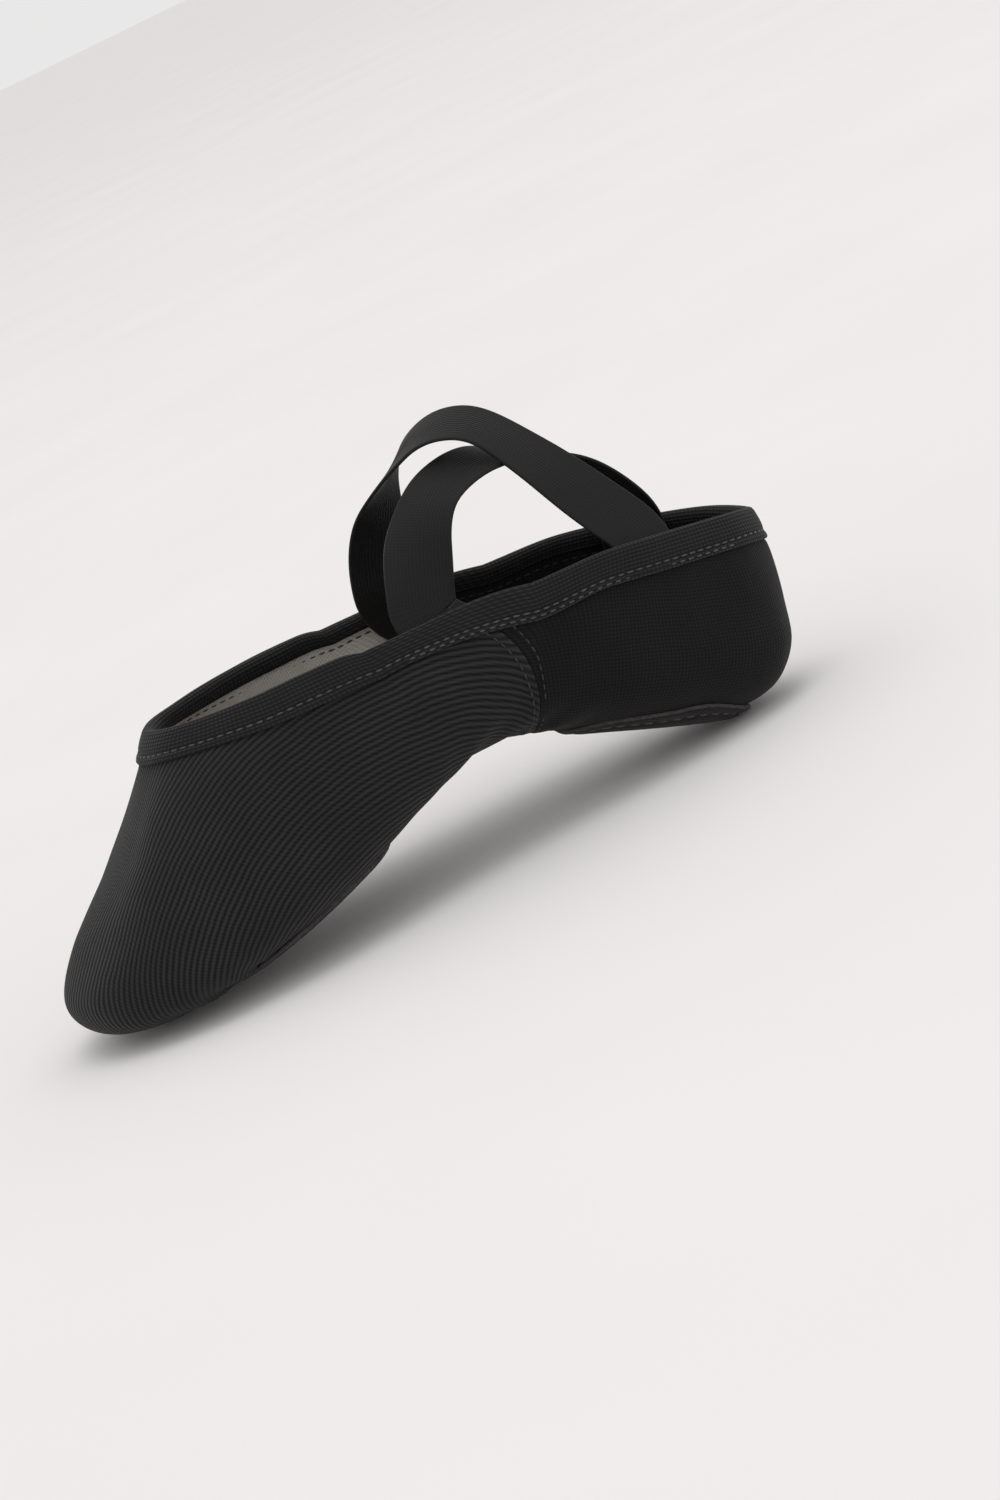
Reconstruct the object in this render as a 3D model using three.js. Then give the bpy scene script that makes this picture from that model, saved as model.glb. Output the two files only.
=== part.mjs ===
// A split-sole ballet slipper in its relaxed, arched shape, standing on its toe and heel.
// Millimetres, +Z up, +X toward the toe. The upper is drawn unbent in (a, y, h): a runs
// along the sole from the arch, y across, h up from the sole. It is then bent at the arch.
import * as THREE from 'three';

// ---- overall sizes
const SOLE_LENGTH = 227; // heel back to toe tip, measured along the sole
const BALL_WIDTH = 84; // widest point of the upper
const RIM_HEIGHT = 57; // sole to rim at the heel
const DRAWN = { length: 227, width: 84, height: 57 }; // the sizes the profiles are drawn at

// ---- relaxed shape
const HEEL_PITCH = 23.5; // degrees the heel half tips heel down
const FORE_PITCH = 15.5; // degrees the front half tips toe down
const ARCH_HALF = 10.6; // half the length of sole that carries the bend

// ---- cloth and its fits
const CANVAS = 1.0;
const LINING = 0.6;
const TAPE = 0.8; // binding tape, single thickness
const SUEDE = 1.2;
const FOAM = 2.5;
const SOCK = 0.6;
const THREAD = 0.5;
const CLOTH_GAP = 0.3; // between layers that are sewn together
const PATCH_GAP = 0.6; // between a sole patch and the canvas it is sewn to
const BINDING_WIDTH = 9;
const EDGE_INSET = 0.6; // cloth edges stop this far short of the fold of the binding
const STITCH_FROM_EDGE = 2.2; // binding stitch row, from the lower edge of the tape
const ROW_BACK = 0.45; // far edge of the arch seam's stitch row, as a share of the last facet
const ROW_WIDTH = 0.16; // width of the row, in the same shares
const SEAM_ROOM = 6.4; // open wedge at the bottom of the arch seam, closes as the arch folds
const SEAM_GAP = 0.6; // the same wedge at the rim

// ---- sole patches, in (a, y)
const FORE_PATCH = { rear: 36, front: 102, half: 36, square: 3.2, round: 2.1 };
const HEEL_PATCH = { rear: -79, front: -22, half: 23.5, square: 5, round: 2.2 };
const PAD_INSET = 8;
const SOCK_INSET = 7;
const ROW_INSET = 2.6; // stitch groove, in from the patch edge
const GROOVE = { width: 1.4, depth: 0.7, play: 0.25 };

// ---- straps
const STRAP_WIDTH = 19;
const STRAP_THICK = 1.2;
const STRAP_FRONT_A = 2.4; // where the front ends sit along the rim
const STRAP_REAR_A = -46.5;
const STRAP_RISE = 44.5; // crown of the lower strap above the line joining its ends
// Degrees the legs make with the line joining the ends; a rear leg is steeper for each mm a strap is lifted.
const STRAP_LEG = { front: 74, rear: 54, steeper: 1.6 };
const STRAP_CHANGE = 60; // degrees from the crown over which one leg's slope gives way to the other's
const STRAP_BLEND = 7; // how tightly the legs turn into the crown
const STRAP_TWIST = 35; // degrees from the crown where a strap starts to turn flat to the wall
const CROWN_FLAT = 22; // degrees from the crown over which a strap lies level across the slipper
const CROSSING_GAP = 6; // the upper strap clears the lower one by this much more
const TAIL = 3.5; // how far the ends reach below the rim
const TAIL_ROOM = 2.2; // between a tail and the binding, for the strap to lean
const TACK = { width: 14, height: 1.0, drop: 6 };

// ---- the upper, one profile from sole centre to rim at each station, for the +Y half
const PROFILES = [
  // toe centre
  [[102, 0, 0], [111, 0, 0.6], [121, 0, 3], [133.5, 0, 12], [134.5, 0, 21.5], [122.5, 0, 32], [96, 0, 42.5], [67, 0, 62.5]],
  // toe corner
  [[95, 0, 0], [102, 9, 0.5], [114, 18, 2.6], [126.5, 21.5, 11], [127, 20.8, 21], [115, 16.5, 32], [92, 12, 44], [65.5, 6.5, 62.2]],
  // toe side
  [[86, 0, 0], [91, 14.5, 0.2], [100, 29, 2], [108.5, 34.5, 9.5], [109, 34, 20], [101, 29.5, 32.5], [85, 21.5, 46], [61.5, 13.5, 61]],
  // ball
  [[68, 0, 0], [69, 19, 0], [72, 36.5, 1.8], [75, 42, 9], [75, 41.5, 19], [71.5, 38, 31], [63.5, 31, 45], [51.5, 21, 58]],
  // behind the ball
  [[48, 0, 0], [48, 18.5, 0], [49, 35, 1.8], [49, 40.5, 9], [49, 40, 19], [47.5, 37.5, 29.5], [45, 33, 42], [40, 26, 54.6]],
  // front of the arch
  [[24, 0, 0], [24, 15.5, 0], [24, 29.5, 2.4], [24, 35, 9], [24, 36, 18], [24, 35.2, 27], [24, 32.5, 38.5], [23, 28.2, 49.3]],
  // arch fold
  [[-8, 0, 0], [-8, 14, 0.4], [-8, 25, 3.4], [-8, 30.5, 9], [-7, 32.5, 16], [-5, 32.3, 24.5], [-1.5, 31, 33], [2.4, 28.8, 40.3]],
  // front of the heel
  [[-30, 0, 0], [-30, 12, 0.4], [-31, 22, 3], [-32, 29, 9.5], [-33, 31.3, 18], [-33, 31, 28], [-33, 29, 38.5], [-33, 26.8, 50.0]],
  // heel side
  [[-48, 0, 0], [-50, 10.5, 0.3], [-54, 19.5, 2.6], [-60, 25, 9.5], [-63, 27, 19], [-61, 26, 31], [-58, 23.5, 43], [-55, 21, 54.3]],
  // heel corner
  [[-61, 0, 0], [-66, 6, 0.2], [-72, 12, 2.2], [-82, 16, 9.5], [-85.5, 17, 20], [-83.5, 16, 32], [-79.5, 13.5, 45], [-73.5, 12, 57]],
  // heel back
  [[-67, 0, 0], [-72, 0, 0.3], [-78, 0, 2], [-88.5, 0, 10.5], [-92, 0, 21.5], [-90.5, 0, 33], [-87, 0, 46], [-81.5, 0, 57.1]],
];
const ARCH_KEY = 6; // the profile the front and rear halves part at
const LAST_KEY = PROFILES.length - 1;
const RING = 2 * LAST_KEY;

// ---- fineness
const STEPS_PER_KEY = 3;
const PROFILE_ROWS = 13;
const SOLE_ROWS = 8; // rows of a skin that can lie under a patch
const PATCH_SPOKES = 48;
const STRAP_STEPS = 22;

const DEG = Math.PI / 180;
const V = (x, y, z) => new THREE.Vector3(x, y, z);

// ---------------------------------------------------------------- bending
const FAN = (HEEL_PITCH + FORE_PITCH) * DEG;
const ARCH_RADIUS = (2 * ARCH_HALF) / FAN;

// Unbent (a, y, h) to the standing slipper, heel half first, then the arch, then the front half.
function bend(p) {
  const part = THREE.MathUtils.clamp((p.x + ARCH_HALF) / (2 * ARCH_HALF), 0, 1);
  const tilt = HEEL_PITCH * DEG - FAN * part;
  const past = p.x - THREE.MathUtils.clamp(p.x, -ARCH_HALF, ARCH_HALF);
  const reach = ARCH_RADIUS + p.z;
  return V(
    -Math.sin(tilt) * reach + Math.cos(tilt) * past,
    p.y,
    Math.cos(tilt) * reach + Math.sin(tilt) * past,
  );
}

// ---------------------------------------------------------------- the surface of the upper
const sized = ([a, y, h]) => V(
  (a * SOLE_LENGTH) / DRAWN.length,
  (y * BALL_WIDTH) / DRAWN.width,
  (h * RIM_HEIGHT) / DRAWN.height,
);

// Moves the arch profile back to leave the wedge, most at the sole and least at the rim.
function openedBack(p) {
  const rim = (PROFILES[ARCH_KEY].at(-1)[2] * RIM_HEIGHT) / DRAWN.height;
  return V(p.x - SEAM_GAP - (SEAM_ROOM - SEAM_GAP) * (1 - p.z / rim), p.y, p.z);
}

// One closed curve per level, through the profiles of the +Y half and their mirror images.
function levelCurves(opened) {
  const half = PROFILES.map((profile, k) => profile.map((point) => {
    const p = sized(point);
    return opened && k === ARCH_KEY ? openedBack(p) : p;
  }));
  const mirrored = half.slice(1, -1).reverse().map((profile) => profile.map((p) => V(p.x, -p.y, p.z)));
  const ring = [...half, ...mirrored];
  return ring[0].map((_, level) => new THREE.CatmullRomCurve3(ring.map((profile) => profile[level]), true, 'centripetal'));
}

const SAMPLES = 60;

// The profile at a station: points evenly spread from sole centre to rim, and its length.
function profileAt(levels, station) {
  const t = (((station % RING) + RING) % RING) / RING;
  const curve = new THREE.CatmullRomCurve3(levels.map((level) => level.getPoint(t)), false, 'centripetal');
  curve.arcLengthDivisions = 4 * SAMPLES;
  const points = curve.getSpacedPoints(SAMPLES).map((p) => V(p.x, p.y, Math.max(p.z, 0)));
  return { points, length: curve.getLength() };
}

class Upper {
  constructor(opened) {
    this.levels = levelCurves(opened);
    this.kept = new Map();
  }

  profile(station) {
    const key = station.toFixed(5);
    if (!this.kept.has(key)) this.kept.set(key, profileAt(this.levels, station));
    return this.kept.get(key);
  }

  // share 0 is the sole centre and 1 the rim; past the rim it goes on straight.
  spot(station, share) {
    const { points } = this.profile(station);
    const at = THREE.MathUtils.clamp(share * SAMPLES, 0, SAMPLES);
    const i = Math.min(Math.floor(at), SAMPLES - 1);
    const p = points[i].clone().lerp(points[i + 1], at - i);
    if (share > 1) p.addScaledVector(points[SAMPLES].clone().sub(points[SAMPLES - 1]), share * SAMPLES - SAMPLES);
    return p;
  }

  shareBelowRim(station, drop) {
    return 1 - drop / this.profile(station).length;
  }

  normal(station, share) {
    const step = 0.02;
    const low = THREE.MathUtils.clamp(share, step, 1 - step);
    if (share < step) return V(0, 0, -1);
    const along = this.spot(station + step, low).sub(this.spot(station - step, low));
    const up = this.spot(station, low + step).sub(this.spot(station, low - step));
    return along.cross(up).normalize();
  }

  // A point off the surface, out of the slipper if positive.
  off(station, share, out) {
    return this.spot(station, share).addScaledVector(this.normal(station, share), out);
  }
}

const front = new Upper(false);
const rear = new Upper(true);

// ---------------------------------------------------------------- mesh helpers
const group = new THREE.Group();

function addMesh(name, points, faces, colour, roughness) {
  const geometry = new THREE.BufferGeometry();
  const flat = [];
  for (const face of faces) {
    for (const index of face) flat.push(...points[index].toArray());
  }
  geometry.setAttribute('position', new THREE.BufferAttribute(new Float32Array(flat), 3));
  geometry.computeVertexNormals();
  const mesh = new THREE.Mesh(geometry, new THREE.MeshStandardMaterial({ color: colour, roughness }));
  mesh.name = name;
  group.add(mesh);
}

function volumeOf(points, faces) {
  let sum = 0;
  for (const [a, b, c] of faces) sum += points[a].dot(points[b].clone().cross(points[c]));
  return sum / 6;
}

function addBody(name, points, faces, colour, roughness = 0.9) {
  const out = volumeOf(points, faces) < 0 ? faces.map(([a, b, c]) => [a, c, b]) : faces;
  addMesh(name, points, out, colour, roughness);
}

const quad = (a, b, c, d) => [[a, b, c], [a, c, d]];

// Sweeps closed rings of equal length; the ends are closed with the given 2-D outline.
function sweep(rings, outline, closed) {
  const size = rings[0].length;
  const points = rings.flat();
  const faces = [];
  const turns = closed ? rings.length : rings.length - 1;
  for (let i = 0; i < turns; i += 1) {
    const j = (i + 1) % rings.length;
    for (let k = 0; k < size; k += 1) {
      const m = (k + 1) % size;
      faces.push(...quad(i * size + k, j * size + k, j * size + m, i * size + m));
    }
  }
  if (!closed) {
    const last = (rings.length - 1) * size;
    const flipped = THREE.ShapeUtils.area(outline) < 0;
    for (const [a, b, c] of THREE.ShapeUtils.triangulateShape(outline, [])) {
      const [d, e] = flipped ? [c, b] : [b, c];
      faces.push([a, d, e], [last + a, last + e, last + d]);
    }
  }
  return { points, faces };
}

function stationsBetween(from, to) {
  const count = Math.round(Math.abs(to - from) * STEPS_PER_KEY);
  return Array.from({ length: count + 1 }, (_, i) => from + ((to - from) * i) / count);
}

// ---------------------------------------------------------------- cloth of the upper
// Rows of a skin: evenly up to the binding, then at its middle and just under its fold.
function rowShares(upper, station) {
  const low = upper.shareBelowRim(station, BINDING_WIDTH);
  const even = Array.from({ length: PROFILE_ROWS - 2 }, (_, r) => (low * r) / (PROFILE_ROWS - 3));
  return [...even, upper.shareBelowRim(station, BINDING_WIDTH / 2), upper.shareBelowRim(station, EDGE_INSET)];
}

// A skin from sole centre to just under the fold of the binding, between two depths.
function skin(upper, from, to, outer, inner) {
  const stations = stationsBetween(from, to);
  const layer = (out) => stations.flatMap(
    (station) => rowShares(upper, station).map((share) => bend(upper.off(station, share, out))),
  );
  const points = [...layer(outer), ...layer(inner)];
  const behind = points.length / 2;
  const faces = [];
  for (let i = 0; i < stations.length - 1; i += 1) {
    for (let r = 0; r < PROFILE_ROWS - 1; r += 1) {
      const a = i * PROFILE_ROWS + r;
      const b = a + PROFILE_ROWS;
      faces.push(...quad(a, b, b + 1, a + 1));
      faces.push(...quad(behind + a, behind + a + 1, behind + b + 1, behind + b));
    }
    const top = i * PROFILE_ROWS + PROFILE_ROWS - 1;
    faces.push(...quad(top, top + PROFILE_ROWS, behind + top + PROFILE_ROWS, behind + top));
  }
  for (let r = 0; r < PROFILE_ROWS - 1; r += 1) {
    const end = (stations.length - 1) * PROFILE_ROWS + r;
    faces.push(...quad(r, r + 1, behind + r + 1, behind + r));
    faces.push(...quad(end + 1, end, behind + end, behind + end + 1));
  }
  return { points, faces };
}

const INNER_FACE = -(CANVAS + CLOTH_GAP + LINING); // inside of the lining, from the canvas outside
const TAPE_OUT = CLOTH_GAP + TAPE;
const TAPE_IN = INNER_FACE - CLOTH_GAP - TAPE;

// The folded tape, as a channel over the raw edges.
function bindingOutline() {
  const fold = -TAPE - 0.1;
  return [
    [BINDING_WIDTH, TAPE_OUT], [BINDING_WIDTH / 2, TAPE_OUT], [fold / 2, TAPE_OUT], [fold, TAPE_OUT - TAPE / 2],
    [fold, TAPE_IN + TAPE / 2], [fold / 2, TAPE_IN], [BINDING_WIDTH / 2, TAPE_IN], [BINDING_WIDTH, TAPE_IN],
    [BINDING_WIDTH, TAPE_IN + TAPE], [BINDING_WIDTH / 2, TAPE_IN + TAPE], [0, TAPE_IN + TAPE],
    [0, CLOTH_GAP], [BINDING_WIDTH / 2, CLOTH_GAP], [BINDING_WIDTH, CLOTH_GAP],
  ];
}

// A bar that follows the rim, from an outline in (below the rim, out of the slipper).
function rimBar(upper, from, to, outline) {
  const rings = stationsBetween(from, to).map((station) => outline.map(
    ([drop, out]) => bend(upper.off(station, upper.shareBelowRim(station, drop), out)),
  ));
  return sweep(rings, outline.map(([u, v]) => new THREE.Vector2(u, v)), false);
}

function threadOutline(drop, out) {
  return [[drop - THREAD / 2, out], [drop + THREAD / 2, out], [drop + THREAD / 2, out + THREAD], [drop - THREAD / 2, out + THREAD]];
}

// ---------------------------------------------------------------- sole patches and insoles
function underside(upper) {
  return stationsBetween(0, LAST_KEY).map(
    (station) => rowShares(upper, station).slice(0, SOLE_ROWS).map((share) => upper.spot(station, share)),
  );
}

function inTriangle(a, y, p, q, r) {
  const d = (q.x - p.x) * (r.y - p.y) - (r.x - p.x) * (q.y - p.y);
  if (Math.abs(d) < 1e-9) return null;
  const u = ((a - p.x) * (r.y - p.y) - (r.x - p.x) * (y - p.y)) / d;
  const v = ((q.x - p.x) * (y - p.y) - (a - p.x) * (q.y - p.y)) / d;
  if (u < -1e-6 || v < -1e-6 || u + v > 1 + 1e-6) return null;
  return p.z + u * (q.z - p.z) + v * (r.z - p.z);
}

// Height of the outside of the upper under the foot at (a, y).
function soleHeight(floors, a, y) {
  let best = Infinity;
  for (let i = 0; i < floors.length - 1; i += 1) {
    for (let k = 0; k < floors[i].length - 1; k += 1) {
      const [p, q, r, s] = [floors[i][k], floors[i + 1][k], floors[i + 1][k + 1], floors[i][k + 1]];
      const h = inTriangle(a, Math.abs(y), p, q, r) ?? inTriangle(a, Math.abs(y), p, r, s);
      if (h !== null && h < best) best = h;
    }
  }
  if (best === Infinity) throw new Error(`no sole at ${a.toFixed(1)}, ${y.toFixed(1)}`);
  return best;
}

function offSole(floors, a, y, out) {
  const step = 2;
  const slopeA = (soleHeight(floors, a + step, y) - soleHeight(floors, a - step, y)) / (2 * step);
  const slopeY = (soleHeight(floors, a, y + step) - soleHeight(floors, a, y - step)) / (2 * step);
  const n = V(slopeA, slopeY, -1).normalize();
  return V(a, y, soleHeight(floors, a, y)).addScaledVector(n, out);
}

// A point of the patch outline drawn in by inset; square toward the arch, round away from it.
function patchPoint(patch, turn, inset) {
  const scaleA = SOLE_LENGTH / DRAWN.length;
  const scaleY = BALL_WIDTH / DRAWN.width;
  const middle = ((patch.rear + patch.front) / 2) * scaleA;
  const halfA = ((patch.front - patch.rear) / 2) * scaleA - inset;
  const halfY = patch.half * scaleY - inset;
  const squareFirst = Math.cos(turn) * Math.sign(-middle) > 0;
  const power = 2 / (squareFirst ? patch.square : patch.round);
  const c = Math.sign(Math.cos(turn)) * Math.abs(Math.cos(turn)) ** power;
  const s = Math.sign(Math.sin(turn)) * Math.abs(Math.sin(turn)) ** power;
  return [middle + halfA * c, halfY * s];
}

// Rings from the middle out: [inset, depth of the lower face, depth of the upper face].
function plate(floors, patch, rows, centre) {
  const spokes = Array.from({ length: PATCH_SPOKES }, (_, i) => (2 * Math.PI * i) / PATCH_SPOKES);
  const [ca] = patchPoint(patch, Math.PI / 2, 0);
  const points = [];
  for (const side of [0, 1]) {
    points.push(bend(offSole(floors, ca, 0, centre[side])));
    for (const [shrink, inset, ...depth] of rows) {
      for (const turn of spokes) {
        const [a, y] = patchPoint(patch, turn, inset);
        points.push(bend(offSole(floors, ca + (a - ca) * shrink, y * shrink, depth[side])));
      }
    }
  }
  const half = points.length / 2;
  const faces = [];
  for (let i = 0; i < PATCH_SPOKES; i += 1) {
    const j = (i + 1) % PATCH_SPOKES;
    faces.push([0, 1 + i, 1 + j], [half, half + 1 + j, half + 1 + i]);
    for (let k = 0; k < rows.length - 1; k += 1) {
      const a = 1 + k * PATCH_SPOKES;
      const b = a + PATCH_SPOKES;
      faces.push(...quad(a + i, b + i, b + j, a + j));
      faces.push(...quad(half + a + i, half + a + j, half + b + j, half + b + i));
    }
    const edge = 1 + (rows.length - 1) * PATCH_SPOKES;
    faces.push(...quad(edge + i, half + edge + i, half + edge + j, edge + j));
  }
  return { points, faces };
}

const SUEDE_IN = PATCH_GAP;
const SUEDE_OUT = PATCH_GAP + SUEDE;
const SHRINKS = [0.25, 0.5, 0.75];

function suedePatch(floors, patch) {
  const floor = SUEDE_OUT - GROOVE.depth;
  const near = ROW_INSET - GROOVE.width / 2;
  const far = ROW_INSET + GROOVE.width / 2;
  const rows = [
    ...SHRINKS.map((shrink) => [shrink, far, SUEDE_OUT, SUEDE_IN]),
    [1, far + 0.1, SUEDE_OUT, SUEDE_IN],
    [1, far, floor, SUEDE_IN],
    [1, near, floor, SUEDE_IN],
    [1, near - 0.1, SUEDE_OUT, SUEDE_IN],
    [1, 0, SUEDE_OUT, SUEDE_IN],
  ];
  return plate(floors, patch, rows, [SUEDE_OUT, SUEDE_IN]);
}

// The stitch row of a patch, lying in its groove.
function patchRow(floors, patch) {
  const low = SUEDE_OUT - GROOVE.depth + GROOVE.play;
  const near = ROW_INSET - GROOVE.width / 2 + GROOVE.play;
  const far = ROW_INSET + GROOVE.width / 2 - GROOVE.play;
  const corners = [[near, low], [far, low], [far, SUEDE_OUT - 0.05], [near, SUEDE_OUT - 0.05]];
  const rings = Array.from({ length: PATCH_SPOKES }, (_, i) => corners.map(([inset, depth]) => {
    const [a, y] = patchPoint(patch, (2 * Math.PI * i) / PATCH_SPOKES, inset);
    return bend(offSole(floors, a, y, depth));
  }));
  return sweep(rings, [], true);
}

function insole(floors, patch, inset, low, high) {
  const rows = [...SHRINKS, 1].map((shrink) => [shrink, inset, -low, -high]);
  return plate(floors, patch, rows, [-low, -high]);
}

const SQUARE = [[0, 0], [1, 0], [1, 1], [0, 1]].map(([u, v]) => new THREE.Vector2(u, v));

// A flat cord under the sole centre, from one station to another.
function centreSeam(upper, from, to) {
  const rings = stationsBetween(from, to).map((station) => {
    const { x, z } = upper.spot(station, 0);
    const corner = (y, out) => bend(V(x, y, z - out));
    const far = CLOTH_GAP + THREAD;
    return [corner(-THREAD, CLOTH_GAP), corner(THREAD, CLOTH_GAP), corner(THREAD, far), corner(-THREAD, far)];
  });
  return sweep(rings, SQUARE, false);
}

// A point on the flat facet of a skin between its last two stations before the arch seam.
function onLastFacet(upper, sign, back, row, out) {
  const [near, far] = [ARCH_KEY, ARCH_KEY - 1 / STEPS_PER_KEY].map(
    (station) => bend(upper.off(sign * station, rowShares(upper, sign * station)[row], out)),
  );
  return near.lerp(far, back);
}

// The stitch row beside the arch seam, from one binding to the other under the sole.
function archRow(upper) {
  const ring = (sign, row) => [
    [ROW_BACK, CLOTH_GAP], [ROW_BACK - ROW_WIDTH, CLOTH_GAP],
    [ROW_BACK - ROW_WIDTH, CLOTH_GAP + THREAD], [ROW_BACK, CLOTH_GAP + THREAD],
  ].map(([back, out]) => onLastFacet(upper, sign, back, row, out));
  const rows = Array.from({ length: PROFILE_ROWS - 3 }, (_, i) => i);
  const far = rows.slice(1).reverse().map((row) => ring(-1, row));
  return sweep([...far, ...rows.map((row) => ring(1, row))], SQUARE, false);
}

// ---------------------------------------------------------------- straps
// The station whose rim is at a.
function stationAt(upper, a) {
  const scaled = (a * SOLE_LENGTH) / DRAWN.length;
  let best = 0;
  for (let station = 0; station <= LAST_KEY; station += 0.01) {
    if (Math.abs(upper.spot(station, 1).x - scaled) < Math.abs(upper.spot(best, 1).x - scaled)) best = station;
  }
  return best;
}

// Where a strap ends on the inside of the rim, with the directions along the rim and down the wall.
function strapEnd(a, side) {
  const station = stationAt(front, a) * side;
  const rim = bend(front.spot(station, 1));
  const along = bend(front.spot(station + 0.2, 1)).sub(bend(front.spot(station - 0.2, 1))).normalize();
  if (along.x < 0) along.negate();
  const down = bend(front.spot(station, front.shareBelowRim(station, TAIL))).sub(rim);
  const inward = TAPE_IN - TAIL_ROOM - STRAP_THICK / 2;
  down.y = 0;
  return { at: V(rim.x, rim.y + side * inward, rim.z), along, down };
}

// The strap from its front end on one side to its rear end on the other.
function strapPath(side, lift) {
  const fore = strapEnd(STRAP_FRONT_A, side);
  const aft = strapEnd(STRAP_REAR_A, -side);
  const middle = fore.at.clone().add(aft.at).multiplyScalar(0.5);
  const chord = fore.at.clone().sub(aft.at);
  const reach = chord.length() / 2;
  chord.normalize();
  const across = V(0, 0, 1).cross(chord).normalize();
  const up = chord.clone().cross(across).normalize();
  if (across.x < 0) across.negate();
  const rearLeg = STRAP_LEG.rear + STRAP_LEG.steeper * lift;
  const bow = (rise, leg) => {
    const straight = (reach * Math.sin(leg)) / Math.max(Math.sin(leg + rise), 0.2);
    return (straight ** -STRAP_BLEND + (STRAP_RISE + lift) ** -STRAP_BLEND) ** (-1 / STRAP_BLEND);
  };
  const radius = (turn) => {
    const rise = Math.PI / 2 - Math.abs(turn);
    const ahead = THREE.MathUtils.smoothstep(turn, -STRAP_CHANGE * DEG, STRAP_CHANGE * DEG);
    const leg = (rearLeg + (STRAP_LEG.front - rearLeg) * ahead) * DEG;
    return bow(rise, leg) + (reach - bow(0, leg)) * Math.max(1 - rise / (30 * DEG), 0);
  };
  const at = (turn) => middle.clone()
    .addScaledVector(chord, Math.sin(turn) * radius(turn))
    .addScaledVector(up, Math.cos(turn) * radius(turn));
  return { fore, aft, across, at };
}

const STRIPS = 4; // facets across a strap, so that it can twist
const STRIP_EDGES = Array.from({ length: STRIPS + 1 }, (_, i) => (2 * i) / STRIPS - 1);
const STRAP_OUTLINE = [...STRIP_EDGES.map((u) => [u, -1]), ...[...STRIP_EDGES].reverse().map((u) => [u, 1])];

function strapBody(side, lift) {
  const { fore, aft, across, at } = strapPath(side, lift);
  const ring = (p, tangent, w) => {
    const width = w.clone().addScaledVector(tangent, -w.dot(tangent)).normalize();
    const thick = tangent.clone().cross(width).normalize();
    return STRAP_OUTLINE.map(([u, v]) => p.clone()
      .addScaledVector(width, (u * STRAP_WIDTH) / 2)
      .addScaledVector(thick, (v * STRAP_THICK) / 2));
  };
  const rings = [ring(fore.at.clone().add(fore.down), fore.down.clone().normalize().negate(), fore.along)];
  for (let i = 0; i <= STRAP_STEPS; i += 1) {
    const turn = (90 - (180 * i) / STRAP_STEPS) * DEG;
    const tangent = at(turn - 0.01).sub(at(turn + 0.01)).normalize();
    const away = Math.abs(turn) / DEG;
    const end = turn > 0 ? fore.along : aft.along;
    const w = V(0, -side, 0)
      .lerp(across, THREE.MathUtils.smoothstep(away, CROWN_FLAT, CROWN_FLAT + 30))
      .lerp(end, THREE.MathUtils.smoothstep(away, STRAP_TWIST, 90))
      .normalize();
    rings.push(ring(at(turn), tangent, w));
  }
  rings.push(ring(aft.at.clone().add(aft.down), aft.down.clone().normalize(), aft.along));
  const outline = STRAP_OUTLINE.map(([u, v]) => new THREE.Vector2(u, v * (2 - u * u)));
  return sweep(rings, outline, false);
}

// The bar of thread that holds a strap end to the inside of the binding.
function tack(upper, a, side) {
  const station = stationAt(upper, a);
  const out = TAPE_IN - CLOTH_GAP;
  const spread = TACK.width / 2 / upper.spot(station + 0.5, 1).distanceTo(upper.spot(station - 0.5, 1));
  const low = TACK.drop + TACK.height;
  const outline = [[TACK.drop, out - THREAD], [low, out - THREAD], [low, out], [TACK.drop, out]];
  const rings = [-1, 0, 1].map((place) => {
    const s = side * (station + spread * place);
    return outline.map(([drop, depth]) => bend(upper.off(s, upper.shareBelowRim(s, drop), depth)));
  });
  return sweep(rings, SQUARE, false);
}

// ---------------------------------------------------------------- the pieces
const CANVAS_BLACK = 0x222222;
const LINING_WHITE = 0xc9c6c0;
const LINING_BLACK = 0x1c1c1c;
const TAPE_BLACK = 0x1d1d1d;
const SUEDE_BLACK = 0x2b2a2a;
const THREAD_BLACK = 0x161616;
const FOAM_GREY = 0x9a9a9a;
const SOCK_GREY = 0x8b8985;

const put = (name, body, colour) => addBody(name, body.points, body.faces, colour);

function addHalf(prefix, upper, from, to, liningColour) {
  put(`${prefix}_panel`, skin(upper, from, to, 0, -CANVAS), CANVAS_BLACK);
  put(`${prefix}_lining`, skin(upper, from, to, -CANVAS - CLOTH_GAP, INNER_FACE), liningColour);
  put(`${prefix}_binding`, rimBar(upper, from, to, bindingOutline()), TAPE_BLACK);
  const row = threadOutline(BINDING_WIDTH - STITCH_FROM_EDGE, TAPE_OUT + CLOTH_GAP);
  put(`${prefix}_binding_stitching`, rimBar(upper, from, to, row), THREAD_BLACK);
}

function addSole(prefix, upper, patch) {
  const floors = underside(upper);
  const pad = -INNER_FACE + CLOTH_GAP;
  const sock = pad + FOAM + CLOTH_GAP;
  put(`${prefix}_patch`, suedePatch(floors, patch), SUEDE_BLACK);
  put(`${prefix}_patch_stitching`, patchRow(floors, patch), THREAD_BLACK);
  put(`${prefix}_pad`, insole(floors, patch, PAD_INSET, pad, pad + FOAM), FOAM_GREY);
  put(`${prefix}_sock`, insole(floors, patch, SOCK_INSET, sock, sock + SOCK), SOCK_GREY);
}

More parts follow.
